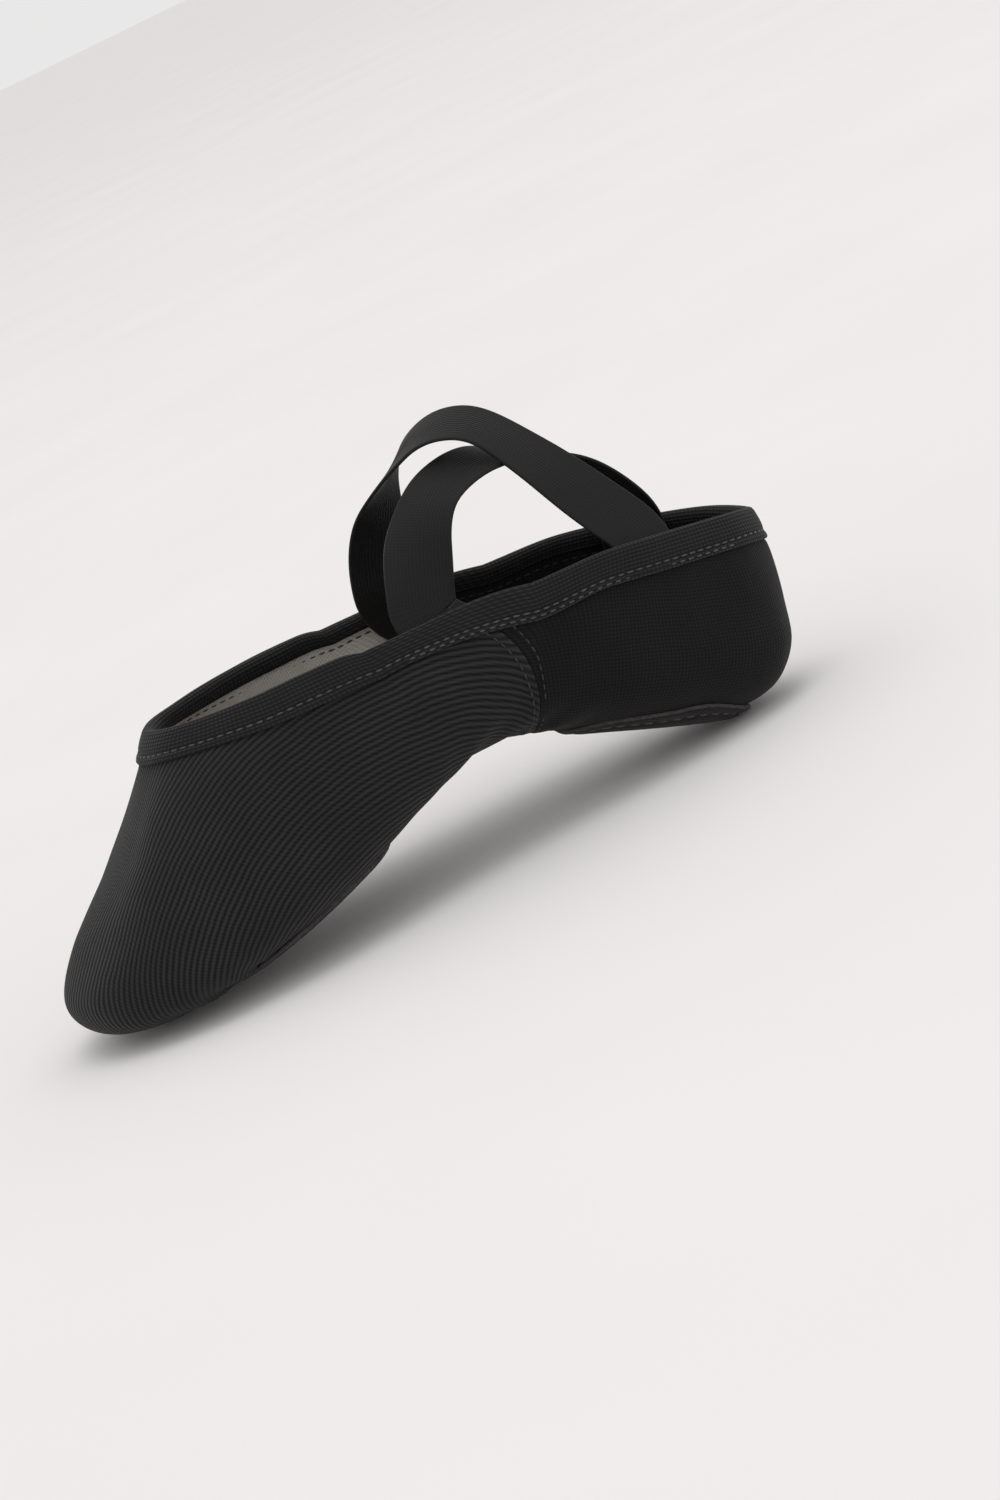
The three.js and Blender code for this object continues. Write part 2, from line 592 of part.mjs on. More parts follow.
addHalf('front', front, -ARCH_KEY, ARCH_KEY, LINING_WHITE);
addHalf('rear', rear, ARCH_KEY, RING - ARCH_KEY, LINING_BLACK);
addSole('forefoot', front, FORE_PATCH);
addSole('heel', rear, HEEL_PATCH);
put('front_centre_seam', centreSeam(front, ARCH_KEY - 1 / STEPS_PER_KEY, ARCH_KEY - 1), THREAD_BLACK);
put('arch_seam_stitching', archRow(front), THREAD_BLACK);
put('strap_under', strapBody(1, 0), TAPE_BLACK);
put('strap_over', strapBody(-1, CROSSING_GAP), TAPE_BLACK);

const FRONT_TACK_A = STRAP_FRONT_A + 9; // clear of the gap at the arch
for (const [name, side] of [['left', 1], ['right', -1]]) {
  put(`tack_front_${name}`, tack(front, FRONT_TACK_A, side), THREAD_BLACK);
  put(`tack_rear_${name}`, tack(rear, STRAP_REAR_A, side), THREAD_BLACK);
}

// ---------------------------------------------------------------- stand it on z = 0
const box = new THREE.Box3().setFromObject(group);
const shift = V(-(box.min.x + box.max.x) / 2, -(box.min.y + box.max.y) / 2, -box.min.z);
group.children.forEach((mesh) => mesh.geometry.translate(shift.x, shift.y, shift.z));

export default group;
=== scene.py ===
"""A split-sole ballet slipper: cloth upper, folded tape binding, crossed elastics and suede sole."""
import math

import bmesh
import bpy
import numpy as np
from mathutils import Matrix, Vector
from mathutils.bvhtree import BVHTree


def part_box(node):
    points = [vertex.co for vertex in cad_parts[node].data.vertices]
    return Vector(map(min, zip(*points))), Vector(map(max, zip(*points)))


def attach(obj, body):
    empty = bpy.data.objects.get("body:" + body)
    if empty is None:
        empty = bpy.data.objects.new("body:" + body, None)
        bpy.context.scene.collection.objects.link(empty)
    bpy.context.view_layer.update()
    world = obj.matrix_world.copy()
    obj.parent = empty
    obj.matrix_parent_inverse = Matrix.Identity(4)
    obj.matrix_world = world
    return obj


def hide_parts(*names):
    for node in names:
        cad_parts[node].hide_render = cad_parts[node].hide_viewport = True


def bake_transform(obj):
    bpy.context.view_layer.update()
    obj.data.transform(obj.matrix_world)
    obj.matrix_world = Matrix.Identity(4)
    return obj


bl_info = {
    "name": "Ballet slipper",
    "version": (1, 0, 0),
    "blender": (4, 5, 0),
    "location": "3D View > Sidebar > Slipper",
    "description": "Builds a split-sole ballet slipper piece by piece",
    "category": "Object",
}

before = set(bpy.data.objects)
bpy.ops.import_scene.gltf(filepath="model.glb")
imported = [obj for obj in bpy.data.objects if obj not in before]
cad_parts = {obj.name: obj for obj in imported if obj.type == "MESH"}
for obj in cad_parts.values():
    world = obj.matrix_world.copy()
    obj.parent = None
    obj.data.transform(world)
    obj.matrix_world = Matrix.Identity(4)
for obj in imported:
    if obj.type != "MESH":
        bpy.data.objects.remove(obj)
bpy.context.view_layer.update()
MM = 0.001
DEG = math.pi / 180

# ---- the relaxed shape, in millimetres, as (along the sole, across, up), then bent at the arch
HEEL_PITCH = 23.5
FORE_PITCH = 15.5
ARCH_HALF = 10.6
FAN = (HEEL_PITCH + FORE_PITCH) * DEG
ARCH_RADIUS = 2 * ARCH_HALF / FAN
PROFILES = [
    # toe centre
    [(102, 0, 0), (111, 0, 0.6), (121, 0, 3), (133.5, 0, 12),
     (134.5, 0, 21.5), (122.5, 0, 32), (96, 0, 42.5), (67, 0, 62.5)],
    # toe corner
    [(95, 0, 0), (102, 9, 0.5), (114, 18, 2.6), (126.5, 21.5, 11),
     (127, 20.8, 21), (115, 16.5, 32), (92, 12, 44), (65.5, 6.5, 62.2)],
    # toe side
    [(86, 0, 0), (91, 14.5, 0.2), (100, 29, 2), (108.5, 34.5, 9.5),
     (109, 34, 20), (101, 29.5, 32.5), (85, 21.5, 46), (61.5, 13.5, 61)],
    # ball
    [(68, 0, 0), (69, 19, 0), (72, 36.5, 1.8), (75, 42, 9),
     (75, 41.5, 19), (71.5, 38, 31), (63.5, 31, 45), (51.5, 21, 58)],
    # behind the ball
    [(48, 0, 0), (48, 18.5, 0), (49, 35, 1.8), (49, 40.5, 9),
     (49, 40, 19), (47.5, 37.5, 29.5), (45, 33, 42), (40, 26, 54.6)],
    # front of the arch
    [(24, 0, 0), (24, 15.5, 0), (24, 29.5, 2.4), (24, 35, 9),
     (24, 36, 18), (24, 35.2, 27), (24, 32.5, 38.5), (23, 28.2, 49.3)],
    # arch fold
    [(-8, 0, 0), (-8, 14, 0.4), (-8, 25, 3.4), (-8, 30.5, 9),
     (-7, 32.5, 16), (-5, 32.3, 24.5), (-1.5, 31, 33), (2.4, 28.8, 40.3)],
    # front of the heel
    [(-30, 0, 0), (-30, 12, 0.4), (-31, 22, 3), (-32, 29, 9.5),
     (-33, 31.3, 18), (-33, 31, 28), (-33, 29, 38.5), (-33, 26.8, 50.0)],
    # heel side
    [(-48, 0, 0), (-50, 10.5, 0.3), (-54, 19.5, 2.6), (-60, 25, 9.5),
     (-63, 27, 19), (-61, 26, 31), (-58, 23.5, 43), (-55, 21, 54.3)],
    # heel corner
    [(-61, 0, 0), (-66, 6, 0.2), (-72, 12, 2.2), (-82, 16, 9.5),
     (-85.5, 17, 20), (-83.5, 16, 32), (-79.5, 13.5, 45), (-73.5, 12, 57)],
    # heel back
    [(-67, 0, 0), (-72, 0, 0.3), (-78, 0, 2), (-88.5, 0, 10.5),
     (-92, 0, 21.5), (-90.5, 0, 33), (-87, 0, 46), (-81.5, 0, 57.1)],
]
ARCH_KEY = 6  # the profile at the arch fold
LAST_KEY = len(PROFILES) - 1
RING = 2 * LAST_KEY

# ---- depths from the outside of the canvas, out of the slipper if positive, in millimetres
CANVAS_IN = -1.0
LINING_OUT, LINING_IN = -1.15, -1.8
TAPE_OUT, TAPE_IN = 1.2, -3.0
BINDING_WIDTH = 9.0
INNER_FOLD = 0.45  # width of the tape's inner fold, as a share of the outer fold
SUEDE_OUT, SUEDE_IN = 1.8, 0.05
PAD_FLOOR, PAD_TOP = -1.95, -4.6
SEAM = ARCH_KEY + 0.12  # where the front canvas laps over the rear canvas
UNDERLAP = 0.06  # how far the rear canvas goes on under the front one
FORE_PATCH = {"rear": 36, "front": 102, "half": 36, "square": 3.2, "round": 2.1}
HEEL_PATCH = {"rear": -79, "front": -22, "half": 23.5, "square": 5, "round": 2.2}

# ---- straps
STRAP_THICK = 1.2
STRAP_FRONT_A = 2.4
REAR_A = {1: -54, -1: -46.5}  # where the rear end of the strap from each front side is sewn
# a strap's side view from front end to rear end, as (share of half its span, rise in millimetres)
UNDER_PATH = [(1, 0), (0.92, 11), (0.8, 22), (0.6, 30.5), (0.34, 34.5), (0.05, 35), (-0.22, 31.2),
              (-0.6, 19.5), (-1, 0)]
OVER_PATH = [(1, 0), (0.93, 14), (0.78, 29), (0.54, 40.5), (0.25, 46), (-0.06, 44.2), (-0.38, 31.5),
             (-0.7, 15), (-1, 0)]
UNDER_LEAN, OVER_LEAN = -24, 14  # degrees that the crown's face leans
STRAP_AHEAD = 0.01  # how far a strap lies ahead for each millimetre of its rise
TWIST_FROM, TWIST_TO = 14, 78  # a strap turns flat to the wall between these, 90 being its end
PATH_POINTS, TAIL_POINTS, STRAP_RINGS = 91, 8, 150
EASING = 8  # rounds of smoothing where a strap leaves the wall
TAIL_DROP = 13.0  # how far the sewn ends reach down inside
TAIL_ROOM = 2.2  # between a tail and the binding


def linear(code):
    """An sRGB hex colour as linear numbers."""
    parts = [int(code[i : i + 2], 16) / 255 for i in (1, 3, 5)]
    return tuple(c / 12.92 if c <= 0.04045 else ((c + 0.055) / 1.055) ** 2.4 for c in parts)


# ------------------------------------------------------------------ the surface of the upper
def through(points, closed, t):
    """Places on the centripetal curve through the points, at shares t of its spans."""
    points = np.asarray(points, float)
    count = len(points)
    spans = count if closed else count - 1
    place = np.clip(t, 0, 1) * spans
    i = np.minimum(place.astype(int), spans - 1)
    w = (place - i)[:, None]
    if closed:
        p0, p1, p2, p3 = (points[(i + k) % count] for k in (-1, 0, 1, 2))
    else:
        padded = np.vstack([2 * points[0] - points[1], points, 2 * points[-1] - points[-2]])
        p0, p1, p2, p3 = (padded[i + k] for k in range(4))
    d0, d1, d2 = (np.sum((q - p) ** 2, 1)[:, None] ** 0.25 for p, q in ((p0, p1), (p1, p2), (p2, p3)))
    m1 = ((p1 - p0) / d0 - (p2 - p0) / (d0 + d1) + (p2 - p1) / d1) * d1
    m2 = ((p2 - p1) / d1 - (p3 - p1) / (d1 + d2) + (p3 - p2) / d2) * d1
    return p1 + m1 * w + (3 * (p2 - p1) - 2 * m1 - m2) * w**2 + (2 * (p1 - p2) + m1 + m2) * w**3


def unit(v):
    return v / np.maximum(np.linalg.norm(v, axis=-1, keepdims=True), 1e-9)


STEP = 24  # kept stations for each profile
ROWS = 121  # kept rows from sole centre to rim
FOLD_RISE = 1.5  # lift of the rim just ahead of the arch, so that it runs straight when folded
FOLD_STATION, FOLD_SPREAD = 5.48, 0.3  # where that lift is greatest, and how far it reaches


def kept_surface():
    """Places, outward directions and profile lengths on a fine net of stations and rows."""
    half = [np.array(p, float) for p in PROFILES]
    ring = half + [p * (1, -1, 1) for p in half[-2:0:-1]]
    stations = np.arange(RING * STEP) / (RING * STEP)
    levels = np.array([through([p[k] for p in ring], True, stations) for k in range(len(half[0]))])
    net = np.empty((RING * STEP, ROWS, 3))
    lengths = np.empty(RING * STEP)
    for s in range(RING * STEP):
        dense = through(levels[:, s], False, np.linspace(0, 1, 600))
        run = np.concatenate([[0], np.cumsum(np.linalg.norm(np.diff(dense, axis=0), axis=1))])
        even = np.linspace(0, run[-1], ROWS)
        net[s] = np.stack([np.interp(even, run, dense[:, c]) for c in range(3)], 1)
        lengths[s] = run[-1]
    net[..., 2] = np.maximum(net[..., 2], 0)
    station = np.abs(np.mod(np.arange(RING * STEP) / STEP + LAST_KEY, RING) - LAST_KEY)
    fold = np.exp(-(((station - FOLD_STATION) / FOLD_SPREAD) ** 2))[:, None]
    net[..., 2] += FOLD_RISE * fold * np.linspace(0, 1, ROWS)[None, :] ** 4
    around = np.roll(net, -1, 0) - np.roll(net, 1, 0)
    up = np.gradient(net, axis=1)
    out = unit(np.cross(around, up))
    out[:, :3] = (0, 0, -1)
    return net, out, lengths


NET, OUT, LENGTHS = kept_surface()


def read_net(table, station, share):
    """The kept table at any station and share, between its rows."""
    s = np.mod(station, RING) * STEP
    i = np.floor(s).astype(int)
    fs = (s - i)[..., None]
    v = np.maximum(share, 0) * (ROWS - 1)
    j = np.minimum(v.astype(int), ROWS - 2)
    fv = (v - j)[..., None]
    i, k = i % len(table), (i + 1) % len(table)
    low = table[i, j] * (1 - fs) + table[k, j] * fs
    high = table[i, j + 1] * (1 - fs) + table[k, j + 1] * fs
    return low * (1 - fv) + high * fv


def off(station, share, out=0.0):
    """Points off the unbent surface, in millimetres."""
    station, share, out = np.broadcast_arrays(*(np.asarray(x, float) for x in (station, share, out)))
    away = unit(read_net(OUT, station, np.minimum(share, 1)))
    return read_net(NET, station, share) + away * out[..., None]


def length_at(station):
    s = np.mod(station, RING) * STEP
    i = np.floor(s).astype(int)
    return LENGTHS[i % len(LENGTHS)] * (1 - s + i) + LENGTHS[(i + 1) % len(LENGTHS)] * (s - i)


def below_rim(station, drop):
    """The share of the profile that lies this far below the rim."""
    return 1 - drop / length_at(station)


def bent(p):
    """Unbent points as the standing slipper, before it is moved to the frame."""
    p = np.asarray(p, float)
    part = np.clip((p[..., 0] + ARCH_HALF) / (2 * ARCH_HALF), 0, 1)
    tilt = HEEL_PITCH * DEG - FAN * part
    past = p[..., 0] - np.clip(p[..., 0], -ARCH_HALF, ARCH_HALF)
    reach = ARCH_RADIUS + p[..., 2]
    x = -np.sin(tilt) * reach + np.cos(tilt) * past
    return np.stack([x, p[..., 1], np.cos(tilt) * reach + np.sin(tilt) * past], -1)


def frame_shift():
    """How far the bent slipper is moved to stand in the frame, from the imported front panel's box."""
    rows, inset, steps = 13, 0.6, 3
    stations = np.arange(-ARCH_KEY * steps, ARCH_KEY * steps + 1) / steps
    low = below_rim(stations, BINDING_WIDTH)
    even = low[:, None] * np.arange(rows - 2) / (rows - 3)
    middle, top = below_rim(stations, BINDING_WIDTH / 2), below_rim(stations, inset)
    shares = np.column_stack([even, middle, top])
    high = bent(off(stations[:, None], shares)).reshape(-1, 3).max(0)
    corner = np.array(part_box("front_panel")[1]) / MM
    return np.array([corner[0] - high[0], 0, corner[2] - high[2]])


SHIFT = frame_shift()


def stand(p):
    """Unbent millimetres to the frame's millimetres."""
    return bent(p) + SHIFT


# ------------------------------------------------------------------ meshes
COLLECTION = bpy.context.scene.collection


def new_piece(name, points, faces, cloth=None, material=None, merge=0.0, raw=None):
    """A mesh in metres from millimetre points; cloth is where each point lies on its cloth, in mm."""
    mesh = bpy.data.meshes.new(name)
    mesh.from_pydata((np.asarray(points) * MM).tolist(), [], [list(map(int, f)) for f in faces])
    if cloth is not None:
        corners = np.empty(len(mesh.loops), np.int32)
        mesh.loops.foreach_get("vertex_index", corners)
        layer = mesh.attributes.new("cloth", "FLOAT_VECTOR", "CORNER")
        layer.data.foreach_set("vector", np.asarray(cloth, np.float32)[corners].ravel())
    if raw is not None:
        mesh.attributes.new("raw", "FLOAT", "POINT").data.foreach_set("value", np.asarray(raw, np.float32))
    if merge:
        work = bmesh.new()
        work.from_mesh(mesh)
        bmesh.ops.remove_doubles(work, verts=work.verts, dist=merge * MM)
        bmesh.ops.recalc_face_normals(work, faces=work.faces)
        if work.calc_volume(signed=True) < 0:
            bmesh.ops.reverse_faces(work, faces=work.faces)
        work.to_mesh(mesh)
        work.free()
    mesh.shade_smooth()
    piece = bpy.data.objects.new(name, mesh)
    COLLECTION.objects.link(piece)
    if material:
        mesh.materials.append(material)
    return piece


def net_faces(n, m, start=0, turned=False, wrap=False):
    """Quads of a net of n by m points; wrap joins the last column of the second way to the first."""
    i, j = np.meshgrid(np.arange(n - 1), np.arange(m if wrap else m - 1), indexing="ij")
    k = (j + 1) % m
    a, b, c, d = i * m + j, (i + 1) * m + j, (i + 1) * m + k, i * m + k
    faces = np.stack([a, b, c, d] if not turned else [a, d, c, b], -1).reshape(-1, 4) + start
    return faces.tolist()


def edge_faces(front, back):
    """Quads that close a shell between two rows of points."""
    return [[a, b, d, c] for a, b, c, d in zip(front[:-1], front[1:], back[:-1], back[1:])]


def shell(name, outer, inner, cloth, material, merge=0.02):
    """A closed wall between two nets of the same size."""
    n, m = outer.shape[:2]
    points = np.concatenate([outer.reshape(-1, 3), inner.reshape(-1, 3)])
    index = np.arange(n * m).reshape(n, m)
    faces = net_faces(n, m) + net_faces(n, m, n * m, turned=True)
    for row in (index[:, -1], index[0, :], index[-1, :]):
        faces += edge_faces(row.tolist(), (row + n * m).tolist())
    both = np.concatenate([cloth.reshape(-1, 3)] * 2)
    return new_piece(name, points, faces, both, material, merge)


def sweep(name, rings, cloth, material):
    """A skin over rings of points, closed at both ends."""
    n, m = rings.shape[:2]
    faces = net_faces(n, m, wrap=True)
    faces += [list(range(m)), list(range((n - 1) * m, n * m))[::-1]]
    return new_piece(name, rings.reshape(-1, 3), faces, cloth.reshape(-1, 3), material, 0.005)


def dress(piece, body, nodes=(), blend_to=None):
    """Hands a finished piece to the frame."""
    if blend_to:
        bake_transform(piece)
    else:
        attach(piece, body)
    if nodes:
        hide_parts(*nodes)
    return piece


# ------------------------------------------------------------------ materials
def add(tree, kind, links=None, **settings):
    """Adds a node, sets it, and fills its inputs with numbers or the outputs of other nodes."""
    made = tree.nodes.new(kind)
    for key, value in settings.items():
        setattr(made, key, value)
    for key, value in (links or {}).items():
        if isinstance(value, bpy.types.NodeSocket):
            tree.links.new(value, made.inputs[key])
        else:
            made.inputs[key].default_value = value
    return made


def start_material(name, roughness, sheen=0.0, sheen_roughness=0.5, specular=0.3):
    """A material with its shader; its other plain values are set on the shader itself."""
    material = bpy.data.materials.new(name)
    material.use_nodes = True
    tree = material.node_tree
    tree.nodes.clear()
    shader = add(tree, "ShaderNodeBsdfPrincipled")
    shader.inputs["Roughness"].default_value = roughness
    shader.inputs["Specular IOR Level"].default_value = specular
    shader.inputs["Sheen Weight"].default_value = sheen
    shader.inputs["Sheen Roughness"].default_value = sheen_roughness
    shader.inputs["Sheen Tint"].default_value = (1, 1, 1, 1)
    add(tree, "ShaderNodeOutputMaterial", {"Surface": shader.outputs[0]})
    return material, tree, shader


def sum_of(tree, *parts):
    """Adds outputs, each with its weight."""
    total = None
    for value, weight in parts:
        links = {0: value, 1: weight, 2: total if total is not None else 0.0}
        total = add(tree, "ShaderNodeMath", links, operation="MULTIPLY_ADD").outputs[0]
    return total


def ribs(tree, place, pitch):
    """A rounded ridge every pitch, 0 in the grooves and 1 on the crests."""
    turn = add(tree, "ShaderNodeMath", {0: place, 1: 2 * math.pi / pitch}, operation="MULTIPLY")
    wave = add(tree, "ShaderNodeMath", {0: turn.outputs[0]}, operation="COSINE")
    links = {0: wave.outputs[0], 1: 0.5, 2: 0.5}
    return add(tree, "ShaderNodeMath", links, operation="MULTIPLY_ADD").outputs[0]


def cloud(tree, size, detail=3.0, rough=0.5):
    """Noise whose lumps are about size millimetres across."""
    coords = add(tree, "ShaderNodeTexCoord")
    links = {"Vector": coords.outputs["Object"], "Scale": 1 / (size * MM)}
    return add(tree, "ShaderNodeTexNoise", {**links, "Detail": detail, "Roughness": rough}).outputs["Fac"]


def between(tree, share, low, high, colour_low, colour_high):
    """A colour between two, as share goes from low to high."""
    ramp = add(tree, "ShaderNodeValToRGB", {"Fac": share})
    ramp.color_ramp.elements[0].position, ramp.color_ramp.elements[1].position = low, high
    ramp.color_ramp.elements[0].color = (*linear(colour_low), 1)
    ramp.color_ramp.elements[1].color = (*linear(colour_high), 1)
    return ramp.outputs["Color"]


def dyed(tree, colour, amount, size):
    """The colour, lighter and darker in clouds."""
    links = {"Value": cloud(tree, size), 1: 0.3, 2: 0.7, 3: 1 - amount, 4: 1 + amount}
    links = {0: colour, "Scale": add(tree, "ShaderNodeMapRange", links).outputs[0]}
    return add(tree, "ShaderNodeVectorMath", links, operation="SCALE").outputs[0]


def raised(tree, shader, height, depth):
    """Bump of this depth in millimetres."""
    links = {"Height": height, "Distance": depth * MM, "Strength": 1.0}
    tree.links.new(add(tree, "ShaderNodeBump", links).outputs[0], shader.inputs["Normal"])


def cloth_places(tree):
    """Where the surface lies on its cloth: around, up and across the ribs, in millimetres."""
    lies = add(tree, "ShaderNodeAttribute", attribute_name="cloth")
    split = add(tree, "ShaderNodeSeparateXYZ", {0: lies.outputs["Vector"]})
    return split.outputs[0], split.outputs[1], split.outputs[2]


def wavering(tree, place, size, amount):
    """A place on the cloth, moved a little in clouds so that threads don't run dead straight."""
    links = {0: cloud(tree, size, 2.0), 1: 0.5}
    centred = add(tree, "ShaderNodeMath", links, operation="SUBTRACT").outputs[0]
    return sum_of(tree, (centred, amount), (place, 1.0))


def ribbed_canvas():
    """Cotton drill with a raised rib: matt, with painted shade between the ribs and a painted grey highlight
    on their fuzzy crests.
    """
    material, tree, shader = start_material("ribbed cotton drill", 0.82, 0.07, 0.45, 0.2)
    along, up, across = cloth_places(tree)
    # the real rib is under a millimetre and is drawn at 1.7 mm so that it shows
    rib = ribs(tree, wavering(tree, across, 9, 1.0), 1.7)
    thread = ribs(tree, sum_of(tree, (along, 0.8), (up, 0.6)), 0.9)
    fuzz = cloud(tree, 0.7, 4.0, 0.7)
    height = sum_of(tree, (rib, 0.72), (thread, 0.18), (fuzz, 0.25))
    # black cotton painted lighter with height: the dark grooves are painted shade and the grey crests
    # painted highlight
    colour = between(tree, height, 0.15, 0.95, "#050505", "#2d2c2d")
    tree.links.new(dyed(tree, colour, 0.16, 22), shader.inputs["Base Color"])
    raised(tree, shader, height, 0.42)
    return material


def plain_canvas():
    """Plain woven stretch cotton: finer and flatter than the drill, with an even black."""
    material, tree, shader = start_material("plain woven cotton", 0.86, 0.06, 0.5, 0.15)
    along, up, across = cloth_places(tree)
    # drawn at 1.1 mm for a weave of about 0.4 mm
    warp = ribs(tree, wavering(tree, along, 12, 1.2), 1.1)
    weft = ribs(tree, wavering(tree, up, 12, 1.2), 1.0)
    fuzz = cloud(tree, 0.6, 4.0, 0.7)
    height = sum_of(tree, (warp, 0.34), (weft, 0.34), (fuzz, 0.35))
    # the black is painted darker between the threads as shade and lighter on them as highlight
    colour = between(tree, height, 0.2, 0.9, "#080808", "#1c1b1c")
    tree.links.new(dyed(tree, colour, 0.18, 26), shader.inputs["Base Color"])
    raised(tree, shader, height, 0.24)
    return material


def knitted_tape():
    """Folded knit tape: rows of small loops that catch light as dots, with a dull sheen."""
    material, tree, shader = start_material("knitted cotton tape", 0.8, 0.08, 0.4, 0.25)
    along, up, _ = cloth_places(tree)
    # loops of about 0.7 mm, drawn at 1.2 mm
    column = ribs(tree, along, 1.2)
    course = ribs(tree, wavering(tree, up, 8, 0.3), 1.05)
    loop = add(tree, "ShaderNodeMath", {0: column, 1: course}, operation="MULTIPLY").outputs[0]
    height = sum_of(tree, (loop, 0.6), (course, 0.3), (cloud(tree, 0.6, 3.0, 0.7), 0.2))
    # the loop tops are painted lighter as highlight and the gaps darker as shade, over the tape's black
    colour = between(tree, height, 0.1, 0.85, "#070707", "#272627")
    tree.links.new(dyed(tree, colour, 0.12, 14), shader.inputs["Base Color"])
    raised(tree, shader, height, 0.3)
    return material


def elastic_webbing():
    """Woven elastic: close lengthwise cords over rubber, crossed by fine weft, slightly shiny."""
    material, tree, shader = start_material("woven elastic", 0.66, 0.07, 0.35, 0.3)
    along, up, _ = cloth_places(tree)
    cord = ribs(tree, up, 1.0)
    weft = ribs(tree, along, 0.8)
    height = sum_of(tree, (cord, 0.6), (weft, 0.25), (cloud(tree, 0.5, 3.0, 0.7), 0.2))
    # painted darker between the cords as shade and lighter on them as highlight, over the webbing's black
    colour = between(tree, height, 0.1, 0.95, "#040404", "#131213")
    tree.links.new(dyed(tree, colour, 0.1, 18), shader.inputs["Base Color"])
    raised(tree, shader, height, 0.16)
    return material


def napped_suede():
    """Split cowhide with a short nap: no shine, clouds where the nap lies another way, pale raw edge."""
    material, tree, shader = start_material("napped suede", 0.95, 0.08, 0.6, 0.1)
    nap = cloud(tree, 1.1, 6.0, 0.75)
    lie = cloud(tree, 9, 2.0)
    mixed = sum_of(tree, (nap, 0.55), (lie, 0.45))
    colour = between(tree, mixed, 0.3, 0.72, "#090909", "#211f1f")
    raw = add(tree, "ShaderNodeAttribute", attribute_name="raw").outputs["Fac"]
    frayed = sum_of(tree, (raw, 1.0), (cloud(tree, 1.6, 4.0, 0.7), 0.9))
    ragged = add(tree, "ShaderNodeMapRange", {"Value": frayed, 1: 1.1, 2: 1.6})
    links = {"Factor": ragged.outputs[0], "A": colour, "B": (*linear("#4d4b4a"), 1)}
    edge = add(tree, "ShaderNodeMix", links, data_type="RGBA")
    tree.links.new(edge.outputs["Result"], shader.inputs["Base Color"])
    raised(tree, shader, sum_of(tree, (nap, 0.8), (lie, 0.2)), 0.5)
    return material


def woven_lining(name, dark, light, depth=0.2):
    """Plain cotton lining: soft, square weave, slightly uneven."""
    material, tree, shader = start_material(name, 0.9, 0.1, 0.5, 0.2)
    along, up, _ = cloth_places(tree)
    warp = ribs(tree, wavering(tree, along, 10, 1.0), 1.0)
    weft = ribs(tree, wavering(tree, up, 10, 1.0), 1.0)
    height = sum_of(tree, (warp, 0.4), (weft, 0.4), (cloud(tree, 0.7, 3.0, 0.7), 0.2))
    # lighter on the threads and darker between them: painted highlight and shade over the lining's own
    # colour
    colour = between(tree, height, 0.1, 0.9, dark, light)
    tree.links.new(dyed(tree, colour, 0.05, 16), shader.inputs["Base Color"])
    raised(tree, shader, height, depth)
    return material


def sewing_thread(name, dark, light):
    """Twisted polyester thread: a slight gloss and fine ply."""
    material, tree, shader = start_material(name, 0.5, 0.1, 0.4, 0.5)
    ply = cloud(tree, 0.35, 2.0)
    tree.links.new(between(tree, ply, 0.3, 0.7, dark, light), shader.inputs["Base Color"])
    raised(tree, shader, ply, 0.12)
    return material


def brushed_sock():
    """Brushed cotton insole: warm grey, fuzzy, flattened and darker where the foot presses."""
    material, tree, shader = start_material("brushed cotton", 0.95, 0.3, 0.6, 0.1)
    fibres = cloud(tree, 0.9, 5.0, 0.75)
    pressed = cloud(tree, 16, 2.0)
    colour = between(tree, sum_of(tree, (fibres, 0.6), (pressed, 0.4)), 0.3, 0.7, "#7b7873", "#a7a39c")
    tree.links.new(colour, shader.inputs["Base Color"])
    raised(tree, shader, fibres, 0.3)
    return material


def soft_foam():
    """Cut polyurethane foam: light grey with open cells."""
    material, tree, shader = start_material("cut foam", 0.9, 0.0, 0.5, 0.2)
    coords = add(tree, "ShaderNodeTexCoord")
    cells = add(tree, "ShaderNodeTexVoronoi", {"Vector": coords.outputs["Object"], "Scale": 1 / (0.9 * MM)})
    # painted darker in the open cells as shade and lighter on the cell walls
    colour = between(tree, cells.outputs["Distance"], 0.1, 0.8, "#8a8988", "#b3b1ad")
    tree.links.new(colour, shader.inputs["Base Color"])
    raised(tree, shader, cells.outputs["Distance"], 0.25)
    return material


def needle_hole():
    """Painted shade for the pit that a stitch pulls into leather."""
    material, tree, shader = start_material("painted shade of needle pits", 1.0, 0.0, 0.5, 0.0)
    colour = between(tree, cloud(tree, 0.4), 0.3, 0.7, "#040404", "#0a0a0a")
    tree.links.new(colour, shader.inputs["Base Color"])
    return material


def studio_paper():
    """Matt seamless paper: even, pale, a trace of warmth."""
    material, tree, shader = start_material("seamless paper", 0.9, 0.0, 0.5, 0.2)
    colour = between(tree, cloud(tree, 180, 2.0), 0.2, 0.8, "#f2f0ef", "#f6f4f3")
    tree.links.new(colour, shader.inputs["Base Color"])
    raised(tree, shader, cloud(tree, 0.8), 0.02)
    return material


MATERIALS = {}


def finish(key):
    makers = {
        "drill": ribbed_canvas, "plain": plain_canvas, "tape": knitted_tape, "elastic": elastic_webbing,
        "suede": napped_suede, "sock": brushed_sock, "foam": soft_foam, "hole": needle_hole,
        "paper": studio_paper,
        "lining": lambda: woven_lining("off-white cotton lining", "#b9b5ad", "#d9d6cf"),
        "lining_black": lambda: woven_lining("black cotton lining", "#070707", "#171616"),
        "thread": lambda: sewing_thread("black thread", "#0d0d0d", "#2c2b2b"),
        # the same black thread, its colours lightened as a painted highlight so that the stitches show
        "thread_painted_highlight": lambda: sewing_thread("black thread painted lighter as highlight", "#1f1e1e", "#4c4b4a"),
    }
    if key not in MATERIALS:
        MATERIALS[key] = makers[key]()
    return MATERIALS[key]


